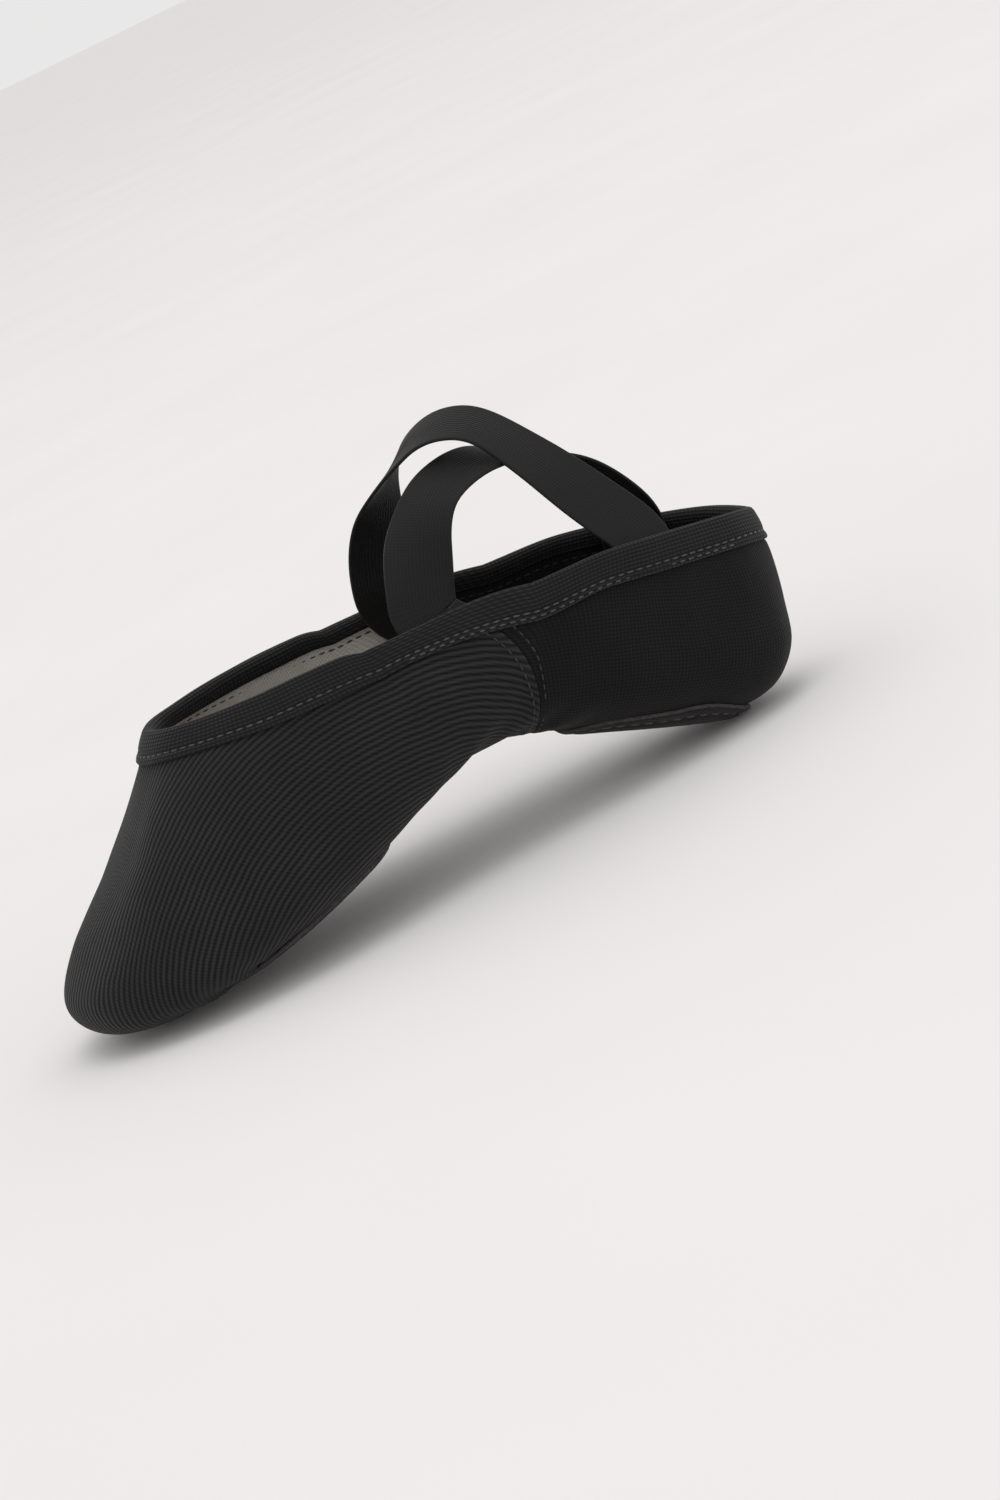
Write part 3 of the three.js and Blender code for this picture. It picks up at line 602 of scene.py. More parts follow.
# ------------------------------------------------------------------ stitches, as geometry nodes
def stitch_tree():
    """Lays one rounded stitch after another along a line, facing the way that the line's points say."""
    tree = bpy.data.node_groups.new("stitch row", "GeometryNodeTree")
    face = tree.interface
    face.new_socket("Geometry", in_out="INPUT", socket_type="NodeSocketGeometry")
    for name, value in (("Pitch", 3.0), ("Stitch length", 2.2), ("Thread", 0.5), ("Flatness", 0.7)):
        socket = face.new_socket(name, in_out="INPUT", socket_type="NodeSocketFloat")
        socket.default_value = value
    face.new_socket("Finish", in_out="INPUT", socket_type="NodeSocketMaterial")
    face.new_socket("Geometry", in_out="OUTPUT", socket_type="NodeSocketGeometry")
    given = add(tree, "NodeGroupInput").outputs
    line = add(tree, "GeometryNodeMeshToCurve", {"Mesh": given["Geometry"]})
    links = {"Curve": line.outputs[0], "Length": given["Pitch"]}
    even = add(tree, "GeometryNodeResampleCurve", links, mode="LENGTH")
    ball = add(tree, "GeometryNodeMeshUVSphere", {"Segments": 8, "Rings": 5, "Radius": 0.5})
    facing = add(tree, "GeometryNodeInputNamedAttribute", {"Name": "facing"}, data_type="FLOAT_VECTOR")
    tangent = add(tree, "GeometryNodeInputTangent")
    along = add(tree, "FunctionNodeAlignRotationToVector", {"Vector": tangent.outputs[0]}, axis="X")
    links = {"Rotation": along.outputs[0], "Vector": facing.outputs[0]}
    turned = add(tree, "FunctionNodeAlignRotationToVector", links, axis="Z", pivot_axis="X")
    deep = add(tree, "ShaderNodeMath", {0: given["Thread"], 1: given["Flatness"]}, operation="MULTIPLY")
    size = {"X": given["Stitch length"], "Y": given["Thread"], "Z": deep.outputs[0]}
    scale = add(tree, "ShaderNodeCombineXYZ", size)
    links = {"Points": even.outputs[0], "Instance": ball.outputs[0], "Rotation": turned.outputs[0]}
    laid = add(tree, "GeometryNodeInstanceOnPoints", {**links, "Scale": scale.outputs[0]})
    real = add(tree, "GeometryNodeRealizeInstances", {"Geometry": laid.outputs[0]})
    smooth = add(tree, "GeometryNodeSetShadeSmooth", {"Geometry": real.outputs[0]})
    links = {"Geometry": smooth.outputs[0], "Material": given["Finish"]}
    dyed_row = add(tree, "GeometryNodeSetMaterial", links)
    add(tree, "NodeGroupOutput", {"Geometry": dyed_row.outputs[0]})
    return tree


TREES = {}


def stitches(name, rows, pitch, length, thread, material, flatness=0.7):
    """A piece of stitching; rows are (points in frame mm, outward directions)."""
    if "row" not in TREES:
        TREES["row"] = stitch_tree()
    points = np.concatenate([p for p, _ in rows])
    facing = np.concatenate([f for _, f in rows])
    edges, start = [], 0
    for p, _ in rows:
        edges += [(start + i, start + i + 1) for i in range(len(p) - 1)]
        start += len(p)
    mesh = bpy.data.meshes.new(name)
    mesh.from_pydata((points * MM).tolist(), edges, [])
    layer = mesh.attributes.new("facing", "FLOAT_VECTOR", "POINT")
    layer.data.foreach_set("vector", facing.astype(np.float32).ravel())
    piece = bpy.data.objects.new(name, mesh)
    COLLECTION.objects.link(piece)
    modifier = piece.modifiers.new("row", "NODES")
    modifier.node_group = TREES["row"]
    given = {"Pitch": pitch * MM, "Stitch length": length * MM, "Thread": thread * MM,
             "Flatness": flatness, "Finish": material}
    for item in TREES["row"].interface.items_tree:
        if item.in_out == "INPUT" and item.name in given:
            modifier[item.identifier] = given[item.name]
    graph = bpy.context.evaluated_depsgraph_get()
    plain = bpy.data.meshes.new_from_object(piece.evaluated_get(graph), depsgraph=graph)
    piece.modifiers.clear()
    piece.data = plain
    if not plain.materials:
        plain.materials.append(material)
    if "facing" in plain.attributes:
        plain.attributes.remove(plain.attributes["facing"])
    return piece


def row_on_upper(station, share, out):
    """A stitch line on the upper: its points and the way that they face."""
    low, high = stand(off(station, share, out)), stand(off(station, share, out + 0.5))
    return low, unit(high - low)


# ------------------------------------------------------------------ cloth of the upper
def rib_places(stations, shares):
    """How far across the ribs each point of the front canvas lies. The ribs run forward over the
    instep and turn down round the toe, as the cloth is drawn under the sole."""
    half = stations >= 0
    s, v = stations[half][:, None] + 0 * shares[half], shares[half]
    p, n = off(s, v), unit(read_net(OUT, s, np.minimum(v, 1)))
    centre_a, centre_h = 48.0, -65.0
    turn = unit(np.stack([p[..., 2] - centre_h, 0 * p[..., 0], centre_a - p[..., 0]], -1))
    flat = turn - np.sum(turn * n, -1, keepdims=True) * n
    round_toe = np.stack([n[..., 2], 0 * n[..., 0], -n[..., 0]], -1)
    way = unit(flat + 1.6 * np.maximum(n[..., :1], 0) * round_toe)
    # down each profile from the rim, and along the rim from the toe centre
    step = p[:, :-1] - p[:, 1:]
    cross = np.cross(step, 0.5 * (way[:, :-1] + way[:, 1:]))
    down = -np.sum(cross * n[:, 1:], -1)
    along = p[1:, -1] - p[:-1, -1]
    cross = np.cross(along, 0.5 * (way[1:, -1] + way[:-1, -1]))
    rim = np.concatenate([[0], np.cumsum(-np.sum(cross * n[1:, -1], -1))])
    inner = np.cumsum(down[:, ::-1], 1)[:, ::-1]
    across = np.concatenate([inner, np.zeros((len(p), 1))], 1) + rim[:, None]
    return np.concatenate([-across[:0:-1], across]) if not half.all() else across


def cloth_net(stations, shares):
    """Around and up places on the cloth, in millimetres."""
    middle = off(stations, 0.62 + 0 * stations)
    run = np.concatenate([[0], np.cumsum(np.linalg.norm(np.diff(middle, axis=0), axis=1))])
    up = shares * length_at(stations)[:, None]
    return np.stack([np.broadcast_to(run[:, None], shares.shape), up, 0 * up], -1)


def spread(low, high, fineness):
    return np.linspace(low, high, int(round((high - low) * fineness)) + 1)


def patch_point(patch, turn, inset):
    """A point of a patch's outline, drawn in by inset: square toward the arch, round away from it."""
    middle = (patch["rear"] + patch["front"]) / 2
    half_a, half_y = (patch["front"] - patch["rear"]) / 2 - inset, patch["half"] - inset
    square_first = np.cos(turn) * np.sign(-middle) > 0
    power = np.where(square_first, 2 / patch["square"], 2 / patch["round"])
    a = middle + half_a * np.sign(np.cos(turn)) * np.abs(np.cos(turn)) ** power
    return a, half_y * np.sign(np.sin(turn)) * np.abs(np.sin(turn)) ** power


def ahead_of_patch(p, patch):
    """How far outside a patch's outline each unbent point lies, and its turn round the patch."""
    middle = (patch["rear"] + patch["front"]) / 2
    a, y = p[..., 0] - middle, p[..., 1]
    half_a, half_y = (patch["front"] - patch["rear"]) / 2, patch["half"]
    power = patch["round"]
    size = (np.abs(a / half_a) ** power + np.abs(y / half_y) ** power) ** (1 / power)
    return (size - 1) * np.hypot(a, y) / np.maximum(size, 1e-6), np.arctan2(y / half_y, a / half_a)


PLEATS = 15  # gathers round the toe half of the forefoot patch
PLEAT_TURN = 0.62  # share of a half turn that they are counted over
PLEAT_RISE, PLEAT_FADE = 1.45, 8.5  # height, and how far from the patch they fade


def gathers(p, n):
    """Height of the toe gathers: deep and tight at the patch edge, fading up the toe."""
    away, turn = ahead_of_patch(p, FORE_PATCH)
    uneven = turn + 0.05 * np.sin(5.3 * turn + 1.1) + 0.03 * np.sin(11 * turn)
    wave = np.sin(PLEATS * uneven / PLEAT_TURN)
    ridge = np.where(wave > 0, np.abs(wave) ** 0.8, -np.abs(wave) ** 1.4)
    fade = np.exp(-np.maximum(away, 0) / PLEAT_FADE) * (away > -6)
    toe = np.clip((0.36 * math.pi - np.abs(turn)) / (0.12 * math.pi), 0, 1)
    under = np.clip((0.55 - n[..., 2]) / 0.5, 0, 1)
    return PLEAT_RISE * ridge * fade * toe * under


def softness(p):
    """The slight unevenness of cloth with nothing in it, in millimetres."""
    a, y, h = p[..., 0], p[..., 1], p[..., 2]
    slow = np.sin(0.083 * a + 0.11 * h + 0.4) * np.sin(0.13 * h - 0.05 * a + 0.02 * y + 1.0)
    quick = np.sin(0.21 * a - 0.17 * h + 0.1 * y) * np.sin(0.15 * a + 0.24 * h)
    return 0.28 * slow + 0.12 * quick


def arch_creases(p, station):
    """Shallow creases that fan out below the binding where the arch is folded."""
    near = np.exp(-(((np.abs(station) - ARCH_KEY) / 0.7) ** 2))
    low = np.clip((30 - p[..., 2]) / 26, 0, 1)
    return 0.55 * near * low * np.sin(0.42 * p[..., 0] + 0.35 * np.abs(p[..., 1]) + 0.25 * p[..., 2])


def canvas(name, low, high, material, fine, rows, nodes, ribbed):
    stations = spread(low, high, fine)
    top = below_rim(stations, 1.2)[:, None]
    shares = top * np.linspace(0, 1, rows)[None, :]
    wide = stations[:, None] + 0 * shares
    p, n = off(wide, shares), unit(read_net(OUT, wide, np.minimum(shares, 1)))
    lift = softness(p) * np.clip(shares * 4, 0, 1) + arch_creases(p, wide - RING * (wide > LAST_KEY))
    if ribbed:
        edge = np.clip((SEAM - np.abs(wide)) / 0.1, 0, 1)
        lift = lift * edge + gathers(p, n) + 0.3 * (1 - edge)
    else:
        tuck = np.clip(np.minimum(wide - low, high - wide) / 0.14, 0, 1)
        lift = lift * tuck - 0.75 * (1 - tuck) ** 2
    under_tape = np.clip((shares - below_rim(stations, BINDING_WIDTH + 1)[:, None]) * 60, 0, 1)
    lift = lift * (1 - under_tape) - 0.15 * under_tape
    lift = np.where(shares < 0.02, np.minimum(lift, 0), lift)
    cloth = cloth_net(stations, shares)
    if ribbed:
        cloth[..., 2] = rib_places(stations, shares)
    outer, inner = stand(off(wide, shares, lift)), stand(off(wide, shares, lift + CANVAS_IN))
    piece = shell(name, outer, inner, cloth, material)
    return dress(piece, "forefoot", nodes, "heel")


def lining(name, low, high, material, nodes):
    stations = spread(low, high, 10)
    shares = below_rim(stations, 1.4)[:, None] * np.linspace(0, 1, 60)[None, :]
    wide = stations[:, None] + 0 * shares
    p = off(wide, shares)
    lift = softness(p) * np.clip(shares * 4, 0, 1) * 0.8
    outer = stand(off(wide, shares, lift + LINING_OUT))
    inner = stand(off(wide, shares, lift + LINING_IN))
    piece = shell(name, outer, inner, cloth_net(stations, shares), material)
    return dress(piece, "forefoot", nodes, "heel")


def tape_outline():
    """The folded tape across the rim, as (below the rim, out of the slipper)."""
    outer = [(9.1, 0.2), (9.15, 0.75), (8.9, 1.1), (8.2, 1.2), (7.4, 1.08), (6.8, 0.86), (6.2, 1.1),
             (5.2, 1.3), (3.8, 1.38), (2.2, 1.36), (0.8, 1.3), (-0.2, 1.05), (-0.8, 0.45), (-1.05, -0.4),
             (-1.1, -1.1), (-0.9, -2.0), (-0.3, -2.7), (0.8, -3.05), (2.4, -3.15), (4.4, -3.15),
             (6.0, -3.05), (6.8, -2.85), (7.6, -3.0), (8.6, -3.0), (9.1, -2.75), (9.1, -2.3)]
    inner = [(8.6, -2.15), (6.0, -2.2), (3.0, -2.25), (1.0, -2.1), (0.1, -1.4), (-0.1, -0.9), (0.2, -0.2),
             (1.2, 0.35), (3.0, 0.4), (6.0, 0.2), (8.6, 0.15)]
    outline = np.array(outer + inner)
    hidden = np.clip((-1.1 - outline[:, 1]) / 0.8, 0, 1)  # the inner fold is narrower than the outer one
    outline[:, 0] *= 1 - hidden * (1 - INNER_FOLD) * (outline[:, 0] > 0)
    return outline


def binding():
    stations = spread(-LAST_KEY + 0.012, LAST_KEY - 0.012, 22)
    outline = tape_outline()
    drop, out = outline[:, 0][None, :], outline[:, 1][None, :]
    place = off(stations, below_rim(stations, 0.0))
    run = np.concatenate([[0], np.cumsum(np.linalg.norm(np.diff(place, axis=0), axis=1))])[:, None]
    sway = 0.12 * np.sin(run / 17) + 0.08 * np.sin(run / 6.1 + 1)
    puff = 1 + 0.07 * np.sin(run / 9.3 + 0.5) + 0.04 * np.sin(run / 3.7)
    low = drop + sway * np.clip(drop / BINDING_WIDTH, 0, 1)
    middle = (TAPE_OUT + TAPE_IN) / 2
    deep = middle + (out - middle) * puff
    wide = stations[:, None] + 0 * low
    rings = stand(off(wide, below_rim(wide, low), deep))
    walk = np.concatenate([[0], np.cumsum(np.linalg.norm(np.diff(outline, axis=0), axis=1))])[None, :]
    cloth = np.stack([run + 0 * walk, walk + 0 * run, 0 * (run + walk)], -1)
    piece = sweep("rim_binding", rings, cloth, finish("tape"))
    dress(piece, "forefoot", ("front_binding", "rear_binding"), "heel")


def binding_stitches():
    stations = spread(-LAST_KEY + 0.03, LAST_KEY - 0.03, 20)
    outside = row_on_upper(stations, below_rim(stations, 6.8), 1.02)
    piece = stitches("binding_stitching", [outside], 2.9, 2.1, 0.62, finish("thread_painted_highlight"), 0.6)
    nodes = ("front_binding_stitching", "rear_binding_stitching")
    dress(piece, "forefoot", nodes, "heel")
    inside = row_on_upper(stations, below_rim(stations, 6.8), -1.75)
    rows = [(inside[0], -inside[1])]
    piece = stitches("binding_stitching_inside", rows, 2.9, 2.1, 0.55, finish("thread"), 0.6)
    dress(piece, "forefoot", (), "heel")
    rows = []
    for side in (1, -1):
        second = spread(5.7, 8.6, 20) * side
        rows.append(row_on_upper(second, below_rim(second, 8.2), 1.15))
    piece = stitches("binding_second_row", rows, 2.9, 2.0, 0.55, finish("thread_painted_highlight"), 0.6)
    dress(piece, "forefoot", (), "heel")


def seam_stitches():
    rows = []
    for side in (1, -1):
        for back, out in ((0.055, 0.42), (-0.07, -0.05)):
            s = np.full(60, (SEAM - back) * side)
            v = np.linspace(0.03, 1, 60) * below_rim(s, BINDING_WIDTH + 0.4)
            rows.append(row_on_upper(s, v, out))
    piece = stitches("arch_seam_stitches", rows, 2.6, 1.9, 0.5, finish("thread"), 0.6)
    dress(piece, "forefoot", ("arch_seam_stitching",), "heel")


# ------------------------------------------------------------------ sole and insole
def sole_floor():
    """The underside of the upper, to find its height under any place."""
    faces = net_faces(RING * STEP, ROWS // 2)
    half = NET[:, : ROWS // 2].reshape(-1, 3)
    return BVHTree.FromPolygons(half.tolist(), faces)


SOLE = sole_floor()


def sole_height(a, y):
    """Height of the outside of the upper above the unbent floor."""
    result = np.empty(np.shape(a))
    for index in np.ndindex(result.shape):
        hit = SOLE.ray_cast(Vector((a[index], y[index] + 1e-4, -9)), Vector((0, 0, 1)))[0]
        if hit is None:
            raise RuntimeError(f"no sole at {a[index]:.1f}, {y[index]:.1f}")
        result[index] = hit.z
    return result


def off_sole(a, y, out):
    """Points off the underside, down if out is positive."""
    a, y, out = np.broadcast_arrays(a, y, out)
    step = 1.5
    h = sole_height(a, y)
    slope_a = (sole_height(a + step, y) - sole_height(a - step, y)) / (2 * step)
    slope_y = (sole_height(a, y + step) - sole_height(a, y - step)) / (2 * step)
    way = unit(np.stack([slope_a, slope_y, -np.ones_like(h)], -1))
    return np.stack([a, y, h], -1) + way * out[..., None]


SPOKES = 144


def disc(name, patch, rows, middles, material):
    """A plate over the sole: rows are (share from the middle, inset, lower depth, upper depth, raw)."""
    turn = np.linspace(0, 2 * math.pi, SPOKES, endpoint=False)[None, :]
    centre, _ = patch_point(patch, math.pi / 2, 0)
    shrink, inset, low, high, worn = (np.array(r, float)[:, None] for r in zip(*rows))
    a, y = patch_point(patch, turn, inset)
    a, y = centre + (a - centre) * shrink, y * shrink
    sides, middle_points = [], []
    for depth, middle in ((low, middles[0]), (high, middles[1])):
        sides.append(stand(off_sole(a, y, depth + 0 * a)))
        spot = off_sole(np.array([float(centre)]), np.array([0.0]), np.array([middle]))
        middle_points.append(stand(spot)[0])
    n = len(rows)
    count = n * SPOKES
    points = np.concatenate([sides[0].reshape(-1, 3), sides[1].reshape(-1, 3), middle_points])
    faces = net_faces(n, SPOKES, wrap=True) + net_faces(n, SPOKES, count, turned=True, wrap=True)
    for k in range(SPOKES):
        j = (k + 1) % SPOKES
        faces += [[2 * count, k, j], [2 * count + 1, count + j, count + k]]
        last = count - SPOKES
        faces.append([last + k, count + last + k, count + last + j, last + j])
    flat = np.stack([a, y, 0 * a], -1).reshape(-1, 3)
    cloth = np.concatenate([flat, flat, [[centre, 0, 0]] * 2])
    raw = np.concatenate([(worn + 0 * a).ravel(), (worn + 0 * a).ravel(), [0, 0]])
    return new_piece(name, points, faces, cloth, material, 0.001, raw)


def patch_rows(inset_row):
    """From the middle to the raw edge, with the dip that the stitches pull in."""
    rows = [(k / 9, inset_row + 2.0, SUEDE_IN, SUEDE_OUT, 0) for k in range(1, 10)]
    groove = ((1.1, 1.72), (0.7, 1.5), (0.3, 1.22), (-0.1, 1.12), (-0.5, 1.2), (-0.9, 1.42), (-1.3, 1.5))
    for inset, depth in groove:
        rows.append((1, inset_row + inset, SUEDE_IN, depth, 0))
    rows += [(1, 0.75, SUEDE_IN, 1.48, 0.15), (1, 0.35, SUEDE_IN, 1.36, 0.55)]
    rows.append((1, 0.1, SUEDE_IN + 0.1, 1.1, 1))
    rows.append((1, 0.0, 0.3, 0.75, 1))
    return rows


FRAY = 0.12  # how far the cut edge of the hide wanders
SOLE_ROW_INSET = 2.6  # stitches in from the edge of a patch


def ragged_edge(piece):
    """Pulls the raw edge in and out by fractions of a millimetre, as cut hide frays."""
    edge = [v for v, r in zip(piece.data.vertices, piece.data.attributes["raw"].data) if r.value > 0.5]
    centre = sum((v.co for v in edge), Vector()) / len(edge)
    for v in edge:
        away = (v.co - centre).normalized()
        angle = math.atan2(away.y, away.x)
        wander = math.sin(61 * angle) * math.sin(23 * angle + 1) + 0.5 * math.sin(131 * angle)
        v.co += away * FRAY * MM * wander


def patch_line(patch, inset, out):
    turn = np.linspace(0, 2 * math.pi, 400)
    a, y = patch_point(patch, turn, inset)
    low, high = stand(off_sole(a, y, out)), stand(off_sole(a, y, out + 0.5))
    return low, unit(high - low)


def sole(prefix, body, patch, bold):
    rows = patch_rows(SOLE_ROW_INSET)
    piece = disc(f"{prefix}_patch_hide", patch, rows, (SUEDE_IN, SUEDE_OUT), finish("suede"))
    ragged_edge(piece)
    dress(piece, body, (f"{prefix}_patch",))
    pitch, length, thread = (4.0, 2.9, 0.85) if bold else (2.6, 1.8, 0.6)
    line = patch_line(patch, SOLE_ROW_INSET, 1.15)
    row = stitches(f"{prefix}_sole_stitches", [line], pitch, length, thread, finish("thread_painted_highlight"), 0.7)
    dress(row, body, (f"{prefix}_patch_stitching",))
    if bold:
        line = patch_line(patch, SOLE_ROW_INSET, 1.1)
        # near-black marks at the stitch ends: painted shade of the needle pits
        shifted = tuple(np.roll(part[:-1], len(part) // 100, 0) for part in line)
        holes = stitches(f"{prefix}_needle_pit_shade", [shifted], pitch, 1.0, 0.95, finish("hole"), 0.25)
        dress(holes, body, ())


def insoles(prefix, body, patch):
    """A foam pad, crowned in the middle and rounded at its edge, under its brushed cotton cover."""
    crown = lambda k: PAD_TOP - 0.35 * (1 - k * k)
    rows = [(k / 10, 10.5, crown(k / 10), PAD_FLOOR, 0) for k in range(1, 10)]
    rows += [(1, i, d, PAD_FLOOR, 0) for i, d in ((10.5, -4.55), (9.6, -4.3), (8.9, -3.8), (8.4, -3.1))]
    rows.append((1, 8.2, -2.5, -2.3, 0))
    pad = disc(f"{prefix}_insole_pad", patch, rows, (PAD_TOP - 0.35, PAD_FLOOR), finish("foam"))
    dress(pad, body, (f"{prefix}_pad",))
    rows = [(k / 10, 10.5, crown(k / 10) - 0.75, crown(k / 10) - 0.1, 0) for k in range(1, 10)]
    edge = ((10.5, -5.25, -4.65), (9.5, -5.0, -4.4), (8.6, -4.5, -3.9), (7.9, -3.8, -3.2), (7.4, -3.0, -2.5))
    rows += [(1, i, top, under, 0) for i, top, under in edge]
    rows.append((1, 7.1, -2.6, -2.2, 0))
    cover = disc(f"{prefix}_insole_cover", patch, rows, (PAD_TOP - 1.1, PAD_TOP - 0.45), finish("sock"))
    dress(cover, body, (f"{prefix}_sock",))
    points, facing = patch_line(patch, 10.2, -5.35)
    name, thread = f"{prefix}_insole_stitches", finish("thread_painted_highlight")
    row = stitches(name, [(points, -facing)], 3.0, 2.1, 0.5, thread, 0.6)
    dress(row, body, ())


def centre_seam():
    """The folded seam that runs along the waist between the two patches."""
    a = np.linspace(HEEL_PATCH["front"] + 0.5, FORE_PATCH["rear"] - 0.5, 90)
    across = np.array([(-1.5, -0.3), (-1.3, 0.25), (-0.6, 0.5), (-0.12, 0.42), (0, 0.1), (0.12, 0.42),
                       (0.6, 0.5), (1.3, 0.25), (1.5, -0.3)])
    spot = np.stack(np.broadcast_arrays(a[:, None], across[None, :, 0], 0.0 * a[:, None]), -1)
    height = sole_height(a, 0 * a)[:, None]
    spot[..., 2] = height - across[None, :, 1]
    cloth = np.stack(np.broadcast_arrays(a[:, None], across[None, :, 0], across[None, :, 0]), -1)
    piece = sweep("waist_seam", stand(spot), cloth, finish("plain"))
    dress(piece, "forefoot", ("front_centre_seam",), "heel")


# ------------------------------------------------------------------ straps
def rim_station(a):
    half = np.arange(LAST_KEY * STEP + 1) / STEP
    rim = read_net(NET, half, np.ones_like(half))[:, 0]
    return float(np.interp(-a, -rim, half))


def strap_end(a, side):
    """Where a strap leaves the inside of the rim, and the way that the rim runs there."""
    station = rim_station(a) * side
    rim = stand(off(station, 1.0))
    along = unit(stand(off(station + 0.2, 1.0)) - stand(off(station - 0.2, 1.0)))
    along = along if along[0] > 0 else -along
    inward = TAPE_IN - TAIL_ROOM - STRAP_THICK / 2
    return rim + np.array([0, side * inward, 0]), along, station


def strap_tail(station):
    """Points from the sewn end, low on the inside of the wall, up toward the rim."""
    drop = np.linspace(TAIL_DROP, 1.5, TAIL_POINTS)
    return stand(off(station, below_rim(station, drop), TAPE_IN - STRAP_THICK / 2 - 0.25))


def strap_line(side, path, lean):
    """The strap's centre line from tail to tail, with the way that its width runs."""
    fore, fore_along, fore_station = strap_end(STRAP_FRONT_A, side)
    aft, aft_along, aft_station = strap_end(REAR_A[side], -side)
    middle, chord = (fore + aft) / 2, fore - aft
    reach = np.linalg.norm(chord) / 2
    chord = unit(chord)
    across = unit(np.cross([0, 0, 1], chord))
    up = unit(np.cross(chord, across))
    across = -across if across[0] < 0 else across
    walk = np.linspace(0, 1, PATH_POINTS)
    turn = (90 - 180 * walk) * DEG
    bow = through(np.array([(reach * c, h, 0) for c, h in path], float), False, walk)
    arc = middle + chord * bow[:, :1] + (up + (STRAP_AHEAD, 0, 0)) * bow[:, 1:2]
    share = np.clip((np.abs(turn) / DEG - TWIST_FROM) / (TWIST_TO - TWIST_FROM), 0, 1)
    share = (share * share * (3 - 2 * share))[:, None]
    ends = np.where(turn[:, None] > 0, fore_along, aft_along)
    crown = across * math.cos(lean * DEG) - up * math.sin(lean * DEG)
    width = unit(crown * (1 - share) + ends * share)
    first, last = strap_tail(fore_station), strap_tail(aft_station)[::-1]
    line = np.concatenate([first, arc[1:-1], last])
    tails = [np.tile(along, (TAIL_POINTS, 1)) for along in (fore_along, aft_along)]
    width = np.concatenate([tails[0], width[1:-1], tails[1]])
    run = np.concatenate([[0], np.cumsum(np.linalg.norm(np.diff(line, axis=0), axis=1))])
    even = np.linspace(0, run[-1], STRAP_RINGS)
    for _ in range(EASING):
        soft = np.copy(line)
        soft[1:-1] = 0.25 * line[:-2] + 0.5 * line[1:-1] + 0.25 * line[2:]
        line = soft
    line = np.stack([np.interp(even, run, line[:, c]) for c in range(3)], 1)
    width = unit(np.stack([np.interp(even, run, width[:, c]) for c in range(3)], 1))
    return line, width, even


def webbing_outline(width):
    """Across the webbing: a flat band with rounded edges and fine cords, as (across, out)."""
    cords = int(width)
    u = np.linspace(-1, 1, cords * 4 + 1)
    edge = np.sqrt(np.clip((1 - np.abs(u)) * width / 2 / (STRAP_THICK / 2), 0, 1))
    v = STRAP_THICK / 2 * edge * (1 - 0.14 * (0.5 - 0.5 * np.cos(2 * math.pi * cords * u / 2)))
    top = np.stack([u * width / 2, v], 1)
    return np.concatenate([top, (top * (1, -1))[-2:0:-1]])


def strap(name, side, path, lean, body, node, sizes):
    line, width, run = strap_line(side, path, lean)
    tangent = unit(np.gradient(line, axis=0))
    width = unit(width - np.sum(width * tangent, -1, keepdims=True) * tangent)
    thick = unit(np.cross(tangent, width))
    outline = webbing_outline(sizes.strap_width / MM)
    rings = line[:, None] + width[:, None] * outline[None, :, :1] + thick[:, None] * outline[None, :, 1:]
    cloth = np.stack(np.broadcast_arrays(run[:, None], outline[None, :, 0], 0 * run[:, None]), -1)
    piece = sweep(name, rings, cloth, finish("elastic"))
    dress(piece, "heel", (node,), body)
    return line, width, thick


def tail_stitches(lines):
    """Rows of thread across the four sewn ends, on the side that shows inside."""
    rows = {"front": [], "rear": []}
    for line, width, thick in lines:
        for end, indices in (("front", (3, 6)), ("rear", (-4, -7))):
            for i in indices:
                u = np.linspace(-8, 8, 30)[:, None]
                inward = np.sign(-line[i][1]) * np.sign(thick[i][1])
                face = thick[i] * inward
                points = line[i] + width[i] * u + face * (STRAP_THICK / 2 + 0.05)
                rows[end].append((points, np.tile(face, (len(u), 1))))
    for end, body in (("front", "forefoot"), ("rear", "heel")):
        name, thread = f"strap_{end}_bar_tacks", finish("thread_painted_highlight")
        piece = stitches(name, rows[end], 1.9, 1.5, 0.55, thread, 0.6)
        dress(piece, body, (f"tack_{end}_left", f"tack_{end}_right"))


# ------------------------------------------------------------------ add-on
class SlipperSizes(bpy.types.PropertyGroup):
    """Sizes that a maker would change."""

    strap_width: bpy.props.FloatProperty(
        name="Strap width", description="Width of the elastic", default=0.019, unit="LENGTH")
    canvas_rows: bpy.props.IntProperty(
        name="Cloth rows", description="Rows of faces from sole to rim", default=110, min=20)


class SlipperStudio(bpy.types.PropertyGroup):
    """Light and backdrop."""

    floor_size: bpy.props.FloatProperty(
        name="Floor size", description="Side of the paper floor", default=60.0, unit="LENGTH")
    key_power: bpy.props.FloatProperty(
        name="Key light", description="Power of the large overhead light", default=54.0, unit="POWER")
    fill_power: bpy.props.FloatProperty(
        name="Fill light", description="Power of the side light", default=12.0, unit="POWER")
    surround: bpy.props.FloatVectorProperty(
        name="Surround", description="Colour of the studio around", default=linear("#f3f2f2"),
        subtype="COLOR")


class SLIPPER_OT_canvas(bpy.types.Operator):
    """Sew the front and heel canvas"""

    bl_idname = "slipper.canvas"
    bl_label = "Canvas upper"

    def execute(self, context):
        rows = context.scene.slipper_sizes.canvas_rows
        low, high = SEAM - UNDERLAP, RING - SEAM + UNDERLAP
        canvas("front_canvas", -SEAM, SEAM, finish("drill"), 18, rows, ("front_panel",), True)
        canvas("heel_canvas", low, high, finish("plain"), 16, rows - 20, ("rear_panel",), False)
        seam_stitches()
        return {"FINISHED"}


